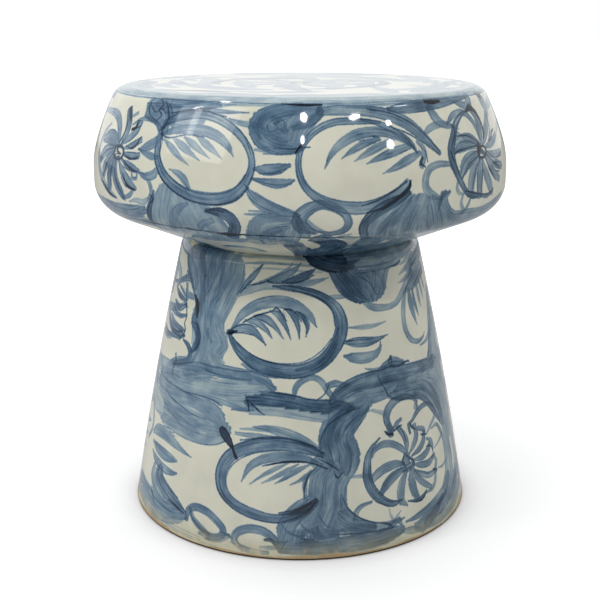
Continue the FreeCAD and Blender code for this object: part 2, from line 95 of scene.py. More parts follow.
# Colours that show where the glaze is thin, worn, spotted or ends, with painted pinhole glints and
# a painted contact shadow at the foot
COOLED = (0.95, 1.01, 1.09, 1.0)
RUST = (0.42, 0.39, 0.19, 1.0)
WIPED = (0.36, 0.28, 0.17, 1.0)
# Painted highlight: pale dots on the pinhole spots stand for small glints of light
PINHOLE_GLINT = (0.86, 0.87, 0.84, 1.0)
SPECK = (0.20, 0.16, 0.11, 1.0)
PALE_SLIP = (0.74, 0.64, 0.43, 1.0)
IRON = (0.28, 0.15, 0.05, 1.0)
# Painted contact shadow: a near-black line along the foot's bottom edge
CONTACT_SHADE = (0.05, 0.035, 0.02, 1.0)
SAND = (0.68, 0.54, 0.36, 1.0)

# The lamps, each with its place, the two sizes of its face and its power in watts
LAMPS = (
    ("left_soft", (-2.3, -1.3, 2.4), (2.0, 2.0), 35),
    ("right_soft", (2.6, -1.1, 1.8), (2.2, 2.2), 3),
    ("above", (0.0, 0.6, 2.4), (1.8, 1.8), 6),
    ("window_top", (-1.57, -0.58, 1.76), (0.09, 0.32), 1.6),
    ("window_low", (-1.52, -0.70, 1.42), (0.13, 0.34), 0.6),
    ("bulb_1", (0.06, -1.48, 1.68), (0.085, 0.09), 5.2),
    ("bulb_2", (0.86, -1.27, 1.63), (0.2, 0.06), 1.6),
    ("bulb_3", (1.32, -0.96, 1.47), (0.1, 0.05), 0.8),
    ("bulb_4", (1.36, -1.10, 1.28), (0.14, 0.1), 1.2),
    ("bulb_5", (0.04, -1.66, 1.48), (0.05, 0.1), 0.9),
    ("rim_left", (-0.71, 0.21, 2.08), (0.35, 0.1), 2.0),
    ("rim_right", (1.31, -0.39, 1.74), (0.3, 0.1), 1.5),
)
CAMERA_BACK = 1.161
CAMERA_HEIGHT = 0.531
CAMERA_DOWN = 15.17
CAMERA_LENS = 65.94


class StoolSizes(bpy.types.PropertyGroup):
    """Sizes of the stool's outline, in metres, as the clay pieces have them."""

    seat_radius: bpy.props.FloatProperty(
        name="Seat radius", description="Widest radius of the seat", default=0.215, unit="LENGTH"
    )
    flat_radius: bpy.props.FloatProperty(
        name="Flat radius", description="Where the top rounds over", default=0.1765, unit="LENGTH"
    )
    disc_radius: bpy.props.FloatProperty(
        name="Disc radius", description="Radius of the top slab", default=0.172, unit="LENGTH"
    )
    height: bpy.props.FloatProperty(
        name="Height", description="Floor to the flat top", default=0.45, unit="LENGTH"
    )
    neck_height: bpy.props.FloatProperty(
        name="Neck height", description="Floor to the crease", default=0.2925, unit="LENGTH"
    )
    neck_radius: bpy.props.FloatProperty(
        name="Neck radius", description="Radius of the crease", default=0.118, unit="LENGTH"
    )
    base_radius: bpy.props.FloatProperty(
        name="Base radius", description="Pedestal above the foot", default=0.1818, unit="LENGTH"
    )
    wall: bpy.props.FloatProperty(
        name="Wall", description="Clay thickness", default=0.008, unit="LENGTH"
    )


class StoolColours(bpy.types.PropertyGroup):
    """Colours of the glaze and the bare clay, and the glaze's gloss."""

    ground: bpy.props.FloatVectorProperty(
        name="Ground",
        description="Glaze over the white slip",
        subtype="COLOR",
        size=3,
        min=0,
        max=1,
        default=(0.80, 0.79, 0.655),
    )
    clay: bpy.props.FloatVectorProperty(
        name="Clay",
        description="Bare fired clay of the foot",
        subtype="COLOR",
        size=3,
        min=0,
        max=1,
        default=(0.53, 0.38, 0.21),
    )
    gloss: bpy.props.FloatProperty(
        name="Gloss roughness",
        description="Roughness of the clear glaze",
        subtype="FACTOR",
        min=0,
        max=1,
        default=0.05,
    )


class Stroke(NamedTuple):
    """One pull of the brush.

    wash is how strong the colour is, edge how dark its rims dried, and route its path: degrees
    round the stool from the front, millimetres up the surface, and half the brush's width there.
    """

    wash: float
    edge: float
    route: tuple


def brushed(*rows):
    """Strokes from rows of wash, edge and then the route, three numbers to a point."""
    return tuple(
        Stroke(wash, edge, tuple(zip(path[::3], path[1::3], path[2::3])))
        for wash, edge, *path in rows
    )


def turned(strokes, degrees, stretch=1.0):
    """The same strokes painted again further round the stool, a little wider or narrower."""
    return tuple(
        stroke._replace(route=tuple((a * stretch + degrees, *rest) for a, *rest in stroke.route))
        for stroke in strokes
    )


# The pedestal's front, with heights above the floor
UPPER_LEAF = brushed(
    (0.62, 0.55, -29.5, 217, 1.6, -27, 208, 3.4, -22, 197, 5.4, -15, 188.5, 6.8, -7, 185, 7,
     1, 185.5, 6.8, 8, 193, 6.6, 13, 205, 6.6, 16.2, 219, 6.6, 16.7, 232, 6.2, 14.6, 245, 5,
     9, 255.5, 4, 2, 261.6, 3.4, -5, 264.4, 2.4, -11, 265, 0.8),
    (0.26, 0.12, 0, 264, 2, -8, 266, 4, -16, 265, 4.4, -23, 258.4, 3.4, -26, 253.6, 1),
    (0.5, 0.2, -22, 188, 1.2, -17, 183, 2.6, -10, 180, 2.4, -4, 180, 1.6),
    (0.55, 0.15, -1, 186, 1.4, 6, 190, 3, 11, 200, 3.4, 14, 213, 2.6, 15.2, 224, 1.2),
    (0.5, 0.1, 0, 182, 0.8, 6, 186, 1.6, 11, 194, 1.8, 14.5, 203, 1),
    (0.784, 0, -27.5, 212, 0.5, -20, 200, 0.6, -13, 193.5, 0.6, -5, 191.8, 0.5, 2, 194.5, 0.5,
     8, 203.5, 0.5, 12, 214, 0.4),
    (0.84, 0, -8, 262.3, 0.4, 0, 260, 0.7, 6, 256, 0.8, 10.4, 250, 0.7, 13.4, 240, 0.5,
     14, 229, 0.4),
    (0.42, 0.35, -28, 222, 1.2, -24, 236, 4.2, -18, 246, 5.4, -11, 250.5, 5.8, -5, 249.5, 6,
     0, 244.5, 5.2, 4, 237, 3.6, 6.3, 228, 0.7),
    (0.42, 0.5, -28.5, 219, 2, -24.5, 223, 3.8, -20, 222.5, 4, -16.5, 217, 2.8, -13.8, 210, 0.6),
    (0.46, 0.45, -22, 230.5, 1.2, -17.5, 229.5, 3.2, -13.6, 223.5, 2.4, -11.4, 217, 0.6),
    (0.46, 0.5, -18, 235, 1.6, -13.6, 233.5, 3.8, -9.6, 226, 2.2, -6.8, 216.5, 0.5),
    (0.52, 0.45, -11.6, 241, 1, -8.6, 238, 3.2, -5.6, 227, 2, -3.8, 216.5, 0.5),
    (0.52, 0.4, -5.4, 243, 1.2, -2.6, 238, 3.2, -0.8, 228, 2.2, -0.3, 217, 0.5),
    (0.56, 0.4, -1, 240.5, 1.2, 1.6, 236, 2.8, 3, 228, 2.2, 2.5, 219.5, 0.5),
    (1.23, 0, -23, 229, 0.4, -18.5, 235.5, 0.6, -14.5, 239, 0.6, -11, 242, 0.5, -9.8, 245, 0.7,
     -8, 241.5, 0.7, -5.8, 234, 0.4),
    (1.23, 0, -6, 243.6, 0.5, -3.6, 243.6, 0.7, -1.4, 239.5, 0.5, 0.4, 233, 0.3),
    (1.12, 0, -0.8, 241.3, 0.5, 1, 239, 0.7, 2.5, 233.5, 0.4),
    (1.01, 0, -29, 219, 0.7, -25.5, 224.5, 0.7, -21.5, 227, 0.6, -18, 225.5, 0.3),
    (1.01, 0, -28, 217, 0.7, -23.5, 218.3, 0.5, -19, 217.3, 0.3),
    (1.7, 0, -29.6, 216.4, 1.2, -28.6, 217, 2.1, -27.6, 218, 1.5, -26.4, 219.2, 0.5),
    (0.5, 0.5, -27, 255, 0.8, -23.6, 265, 2.8, -20, 275, 2.8, -17, 283.5, 0.9),
    (1.01, 0, -25.5, 257, 0.3, -22.6, 266, 0.6, -20.6, 270, 0.3),
    (0.26, 0.5, -20, 265.5, 0.8, -14, 270.5, 2, -9, 276, 2, -5, 282, 1.4, -3.6, 286, 0.6),
    (0.85, 0, -21.6, 264.6, 0.4, -17, 267, 0.7, -13.6, 270.6, 0.4),
    (0.8, 0, -13.6, 270, 0.5, -12.6, 268.4, 0.7, -7, 268.4, 0.6, -2, 271, 0.4),
    (0.9, 0, -7.4, 268.4, 0.5, -3, 268.6, 0.9, 2, 271.4, 0.8, 5.4, 275.6, 0.5),
    (0.3, 0, -27, 284, 0.8, -15, 286.4, 1.3, -2, 285.6, 1, 8, 284, 0.6),
    (0.24, 0, -20, 281, 0.6, -8, 281.6, 1, 2, 279.4, 1, 9, 278.6, 0.5),
    (0.28, 0, -30, 290, 0.7, -14, 291.4, 1.4, 4, 290, 0.8),
    (0.4, 0.5, -13.5, 270, 1.4, -8.5, 273.5, 3.8, -3.5, 279, 3, 0, 286, 0.6),
    (0.75, 0.45, -7, 269.6, 0.9, -1.5, 272.5, 3.6, 3, 277, 3, 6, 280.7, 0.7),
    (0.36, 0.2, -3, 268, 1, 3, 268.5, 3, 8, 270.5, 2, 11.5, 272.5, 0.6),
)

LOWER_LEAF = brushed(
    (0.62, 0.55, 7, 104.5, 3, 2, 110.5, 5.6, -5, 114.5, 6.8, -12, 113.5, 7.2, -18.5, 108.5, 6.6,
     -23.4, 100.5, 6.4, -26.4, 90, 6.4, -27.6, 77, 6.2, -26.5, 63, 5.8, -22.6, 52, 5,
     -16, 44.4, 4.8, -9, 41, 4.6, -3.4, 43, 4.8, 0.8, 48.6, 5, 4, 55.4, 4.2, 5, 58.4, 2.4),
    (0.8, 0.3, -6, 46.5, 1.4, -1.4, 48.5, 3.4, 2.4, 53.5, 3.6, 4.8, 58.5, 1.8),
    (1.3, 0, -5, 38.8, 0.5, -0.6, 43.4, 0.9, 3, 50.4, 1, 4.8, 57, 0.9),
    (1.34, 0, -4.6, 48.6, 0.5, -0.6, 51, 0.7, 3.4, 56.6, 0.8),
    (0.616, 0, -9, 107.6, 0.4, -16, 103.4, 0.6, -21, 95.8, 0.6, -24.4, 85, 0.6, -25.4, 72, 0.6,
     -23.8, 60.5, 0.6, -19, 52.4, 0.5, -12, 46.6, 0.4),
    (0.672, 0, -29.6, 76, 0.4, -28, 61, 0.6, -22.6, 46.6, 0.6, -15, 38.8, 0.6, -7, 37.2, 0.5),
    (0.448, 0, -28.4, 70, 0.3, -24.6, 55, 0.5, -18, 46, 0.5, -10, 42, 0.3),
    (0.42, 0.2, 6.4, 110, 1.8, 1, 118.5, 4.6, -5, 125, 5, -11, 128.6, 3.4, -16, 129.3, 0.8),
    (0.36, 0.1, -22.4, 120.6, 1.6, -15, 120.6, 2.8, -8, 119.5, 2.4),
    (0.34, 0.1, -21, 125.8, 0.8, -15, 127, 1.8, -10.6, 125.8, 0.9),
    (0.84, 0, -20.5, 115, 0.5, -12.4, 119.6, 1.4, -5, 120.3, 1, 1.4, 115.6, 1, 7, 110.4, 0.5),
    (0.44, 0.35, 6.8, 95, 1.6, 1, 101, 4.2, -6, 102.3, 4.8, -12.4, 98.6, 4.6, -17, 90, 3.4,
     -19.6, 75.5, 0.6),
    (1.06, 0, -12.2, 92.4, 0.5, -6, 96.8, 1, -0.4, 97.8, 1, 4, 96, 0.7, 8.6, 90.6, 0.7),
    (0.4, 0.25, -4.4, 95.6, 0.8, -8.6, 89.6, 2.3, -13, 81.6, 1.6, -16.4, 73.8, 0.5),
    (0.4, 0.25, -1, 94.6, 0.9, -5, 87.6, 2.6, -9.2, 80.6, 1.8, -12.4, 75.6, 0.5),
    (0.44, 0.25, 2.8, 94.4, 1, -1.2, 88.6, 2.8, -4.8, 81.8, 2, -7.8, 76.4, 0.5),
    (0.4, 0.25, 6.4, 90.4, 1, 2.6, 84.4, 2.8, 0, 79.4, 1.6, -2.8, 75.4, 0.5),
    (0.95, 1.6, -28.4, 121.6, 2.4, -27.2, 117.6, 4.6, -25.2, 111, 3.2, -23.8, 106, 1),
    (2.6, 0, -23.9, 106.2, 1.1, -23.2, 102, 1.1, -22.4, 97.6, 1.6),
)

RIGHT_FLOWER = brushed(
    (0.5, 0.3, 40, 90, 2.2, 37.4, 98, 3.4, 33.6, 104.6, 3.6, 29.6, 106, 3.6, 26.6, 102.4, 2.4,
     25.4, 97, 1.2),
    (0.66, 0.6, 28.4, 112, 0.8, 25.4, 105, 2.2, 23.6, 94, 3.8, 23.2, 80, 4.4, 24, 68, 4.4,
     26, 58, 4.4, 28.8, 49.6, 4, 32, 45, 3.2, 35.4, 45.6, 1.2),
    (1, 0, 22.2, 92, 0.4, 21.6, 78, 0.7, 22.8, 64, 0.8, 25.6, 52, 0.8, 29.6, 44.6, 0.7),
    (0.784, 0, 28.8, 52, 0.4, 30.4, 48.8, 0.7, 34.6, 45.4, 0.5),
    (0.52, 0.35, 38, 81.6, 1.8, 34, 83.4, 4.3, 30, 82, 4.8, 26.6, 77.6, 4.1, 25.2, 72, 1.6),
    (0.52, 0.35, 38.4, 76, 2.1, 34.4, 73.4, 4.6, 30.8, 67.4, 5, 28.2, 59.6, 3),
    (0.5, 0.3, 38.8, 72.4, 2.1, 36.8, 64, 4.3, 35.6, 54, 5, 35.6, 45.6, 3.9, 37.4, 40, 1.4),
    (0.5, 0.25, 41.2, 71.4, 2.3, 41, 62, 5, 41.4, 52.6, 5.2, 42.4, 45, 3.9),
    (0.48, 0.3, 42.6, 71.6, 1.6, 44.2, 62, 3.4, 46.8, 54, 3.6, 50, 47, 2.7),
    (0.5, 0.45, 43.2, 70, 1.4, 46.6, 63.6, 3, 50.4, 59.2, 3.2, 54.4, 59.6, 2.5),
    (0.52, 0.5, 43.4, 76.4, 1.4, 47, 73, 3.4, 51, 71.6, 3.4, 54.4, 75.4, 2.3),
    (0.52, 0.5, 43.4, 81, 1.4, 47.4, 80.8, 3.4, 51, 84, 3.4, 52.6, 89, 2.5),
    (0.5, 0.5, 42.8, 86.6, 1.1, 46.4, 89.6, 3.2, 49.2, 95.6, 3.2, 50, 103, 2.5),
    (0.48, 0.45, 41.4, 90, 1.1, 44, 97, 3, 45.8, 105, 3.2, 45.4, 114, 2.7),
    (0.5, 0.45, 40.2, 92, 1.1, 40.4, 101, 3.2, 39.6, 109, 3.2, 37.4, 118, 2.7),
    (0.44, 0.3, 47.6, 110.5, 2.4, 50.2, 107.6, 2.6, 50.6, 103.6, 1.6),
    (0.4, 0.4, 52, 95.6, 1.6, 54, 92.6, 2.2, 54.6, 86, 1.8, 54.4, 82.4, 0.7),
    (0.36, 0.3, 54.4, 75, 1.4, 55.8, 69.6, 2.2, 54.8, 63.6, 2.4, 54.2, 58, 2, 53.6, 50, 2.4,
     51.4, 44, 2.4, 48.6, 43, 1),
    (0.75, 0.3, 38.8, 42.2, 0.7, 42.6, 39.4, 1.8, 45.6, 40.6, 2.4, 47.4, 44, 1),
    (1.23, 0, 53.4, 75.6, 0.7, 54.2, 77, 0.8),
    (1.1, 0, 51.4, 88.6, 0.6, 53, 88, 0.8, 54.4, 82.6, 0.4),
    (1.23, 0, 37.8, 118.4, 0.4, 39.6, 111, 0.6, 40.4, 103, 0.3),
    (1.12, 0, 53.6, 61.6, 1.1, 54.8, 60, 1.1),
    (1.06, 0, 41.6, 38.8, 0.4, 45, 38.2, 1, 47.2, 42, 0.5),
    (0.55, 0.5, 34, 119, 3.2, 32.6, 127, 3.8, 32.9, 136, 4.2, 35.4, 143.4, 4.2, 39.4, 147, 3.6,
     44, 146, 2.8, 47.4, 140.4, 2, 48.4, 131, 1.4),
    (0.42, 0.3, 33, 121, 2.6, 33.6, 115.4, 3.4),
    (1.23, 0, 32.4, 115.4, 0.5, 33.6, 113.8, 1, 34.2, 115, 0.5),
    (0.42, 0.2, 38.4, 125.4, 1.8, 36.8, 123.4, 2.2, 35.6, 120.6, 1.4),
    (0.5, 0.35, 42.6, 111, 1.6, 42.4, 118, 1.8, 44.6, 120.8, 1.6, 47, 126.4, 2.6, 50.6, 130.4, 2.6,
     54.6, 130.6, 2.4, 58.4, 126, 1.8, 60.4, 118, 1.2),
    (0.35, 0.1, 52, 101.6, 0.8, 55.4, 108, 1.8, 58.6, 113, 2.4, 59.4, 118, 1.2),
    (0.38, 0.1, 55.6, 104, 1, 59.4, 104.6, 2, 61.6, 98, 2.6, 63.6, 86, 3, 64, 74, 3.2,
     63.6, 62, 3.4, 62.6, 50, 4, 59.6, 38, 4.6),
    (0.3, 0.1, 56, 83, 0.6, 59, 85.6, 1.2, 62.6, 90.4, 2),
    (0.3, 0.1, 57, 60, 0.7, 60, 59, 1.6, 63.4, 62, 2),
    (0.952, 0, 38.8, 90.2, 0.8, 37.8, 84, 0.9, 38.6, 79, 0.8, 41.8, 80, 0.7, 42.2, 76, 0.7,
     39.4, 74.4, 0.7, 37.4, 73.6, 0.5),
    (0.896, 0, 39.4, 90, 0.5, 40.6, 85, 0.7, 42.6, 81.6, 0.7, 42.8, 77, 0.5),
    (0.5, 0.2, 38.8, 89, 1.2, 37.8, 83, 2.6, 37.6, 77, 2.8, 40, 74, 2.6, 42.6, 76.6, 2,
     42.4, 82, 1.6, 40.4, 87, 1.6),
    (0.5, 0, 39.4, 86, 1.8, 40.2, 80, 3.2, 40.8, 75.4, 2),
    (0.3, 0.1, 27.6, 140.6, 1.8, 31.6, 136, 2.4, 32.8, 131, 1.4),
    (0.34, 0.2, 17.8, 79.6, 1.4, 22.6, 78.8, 2),
    (0.5, 0.25, 23.4, 51.4, 1.4, 20.4, 49.6, 2.2, 18.6, 45, 2.6, 18, 39, 2.8),
    (0.32, 0.1, 30.4, 40, 0.7, 30.8, 33.6, 1.2, 32, 27.6, 1.8),
    (0.5, 0.1, 34.6, 34.6, 0.6, 32.4, 29, 1.6, 31, 26, 2.4),
)

THREE_DASHES = brushed(
    (0.32, 0.2, 20.4, 224, 0.8, 25.6, 223.2, 2.4, 31, 223, 2, 36.8, 224.6, 0.5),
    (0.5, 0.35, 18.4, 210.4, 2, 22.6, 209.4, 4.8, 28, 208.6, 4.4, 32.8, 209.6, 2.2,
     36.8, 211.4, 0.5),
    (0.44, 0.4, 17.8, 197, 1.6, 21.6, 194.6, 5, 26.4, 193.4, 5.4, 30.6, 195.6, 3.6,
     32.9, 200.6, 1.8, 33.2, 205.4, 0.6),
    (1.12, 0, 18.8, 211, 0.7, 20.6, 211.6, 0.5),
    (1.01, 0, 18.6, 197.4, 0.5, 19.8, 198, 0.6),
    (0.36, 0.1, 26, 182.4, 0.7, 29.4, 180, 2, 33.4, 180, 2.4),
)

LEFT_DASHES = brushed(
    (0.42, 0.2, -67.6, 89, 2.4, -63.4, 94.6, 6.4, -56.6, 95.6, 6.6, -50, 92, 4.6, -45, 88.4, 2.4,
     -41.2, 86, 0.6),
    (0.46, 0.2, -66.4, 79, 1.6, -61.6, 76.4, 5.2, -55.6, 75.2, 6.2, -51, 75.4, 4, -48.4, 75.6, 1.2),
    (0.42, 0.2, -65.6, 69, 1.6, -61.4, 63.8, 4.4, -54.6, 61, 4.6, -50, 61.4, 3, -47.8, 63, 1.4),
)

LEFT_FLOWER = brushed(
    (0.4, 0.3, -60.4, 230, 1.6, -63.6, 226, 3.6, -69, 222.6, 4.4, -76, 220, 4, -82, 219, 2),
    (0.44, 0.2, -59, 219.6, 1, -64, 217.4, 1.6, -70, 218.6, 1.4),
    (0.42, 0.35, -55.6, 206, 1.6, -59.6, 203.4, 2.8, -65.6, 203.4, 3.6, -71, 207.6, 4,
     -75.6, 215, 3.4),
    (0.5, 0.35, -54.6, 201, 1.4, -58.6, 197.6, 2.2, -64.6, 196, 2.4, -71, 193.6, 3.2,
     -76.4, 196.6, 3),
    (0.36, 0.1, -66, 192, 1.2, -71, 189.8, 2, -78, 192, 2.4),
    (0.9, 0, -61.7, 260.5, 0.5, -58.4, 246, 0.9, -56.8, 232.6, 1, -54.8, 222, 0.9,
     -55.6, 213.6, 0.8, -54.2, 206.6, 0.9, -57.4, 196, 0.8),
    (0.5, 0.4, -69.8, 243, 1.4, -64.4, 238, 3, -58.6, 236, 2),
    (0.6, 0.4, -68, 230, 1.6, -62, 226, 3.4, -57, 231, 2),
    (0.5, 0.4, -69, 223, 1.4, -61, 218.6, 2.6, -55.6, 221.6, 1.6),
    (0.55, 0.4, -70, 214, 1.4, -64.4, 208.6, 2.8, -57, 207, 2),
    (0.55, 0.4, -72, 209, 1.6, -67, 202, 3, -57.6, 199.6, 2),
    (0.45, 0.3, -69, 246, 1, -65, 254, 2.4, -60, 261, 1.2),
    (0.952, 0, -54.8, 201.6, 1, -57.4, 204, 0.8, -59.6, 203, 0.6),
    (0.896, 0, -66, 195.4, 0.5, -69.4, 194.6, 0.9, -71, 195.4, 0.5),
    (0.45, 0.2, -65.4, 246.6, 1, -61.4, 243.4, 2, -57, 239, 2.2),
    (0.45, 0.2, -59.4, 233, 0.7, -57, 232, 1.3, -55.6, 230.6, 0.7),
    (0.45, 0.1, -75.6, 247, 1.4, -69.6, 249.6, 2.4, -64.6, 254, 3.2, -59.6, 258, 3.4,
     -56, 257.6, 2.6),
    (0.3, 0.1, -78.6, 268, 4, -72, 262, 5, -68, 255, 4, -70, 246, 3),
    (0.4, 0.1, -58.4, 250.6, 2, -57.4, 243.4, 3.4, -52.6, 242.4, 3),
    (0.6, 0.3, -54, 197, 1.2, -50.4, 193.6, 3, -48.4, 187, 3.4, -49.2, 179.6, 3.4,
     -53.4, 174.4, 3.4, -58.8, 170.4, 2.4),
    (0.672, 0, -53.4, 196.6, 0.5, -50.4, 194, 0.7, -48, 190, 0.5),
    (0.5, 0.1, -58.4, 178.6, 1.6, -57.6, 173, 2, -59, 165, 1.6, -58.6, 159, 0.9),
    (0.3, 0.1, -77, 166, 1.4, -72.6, 161.6, 3, -70, 154, 4, -70.6, 145, 4),
)

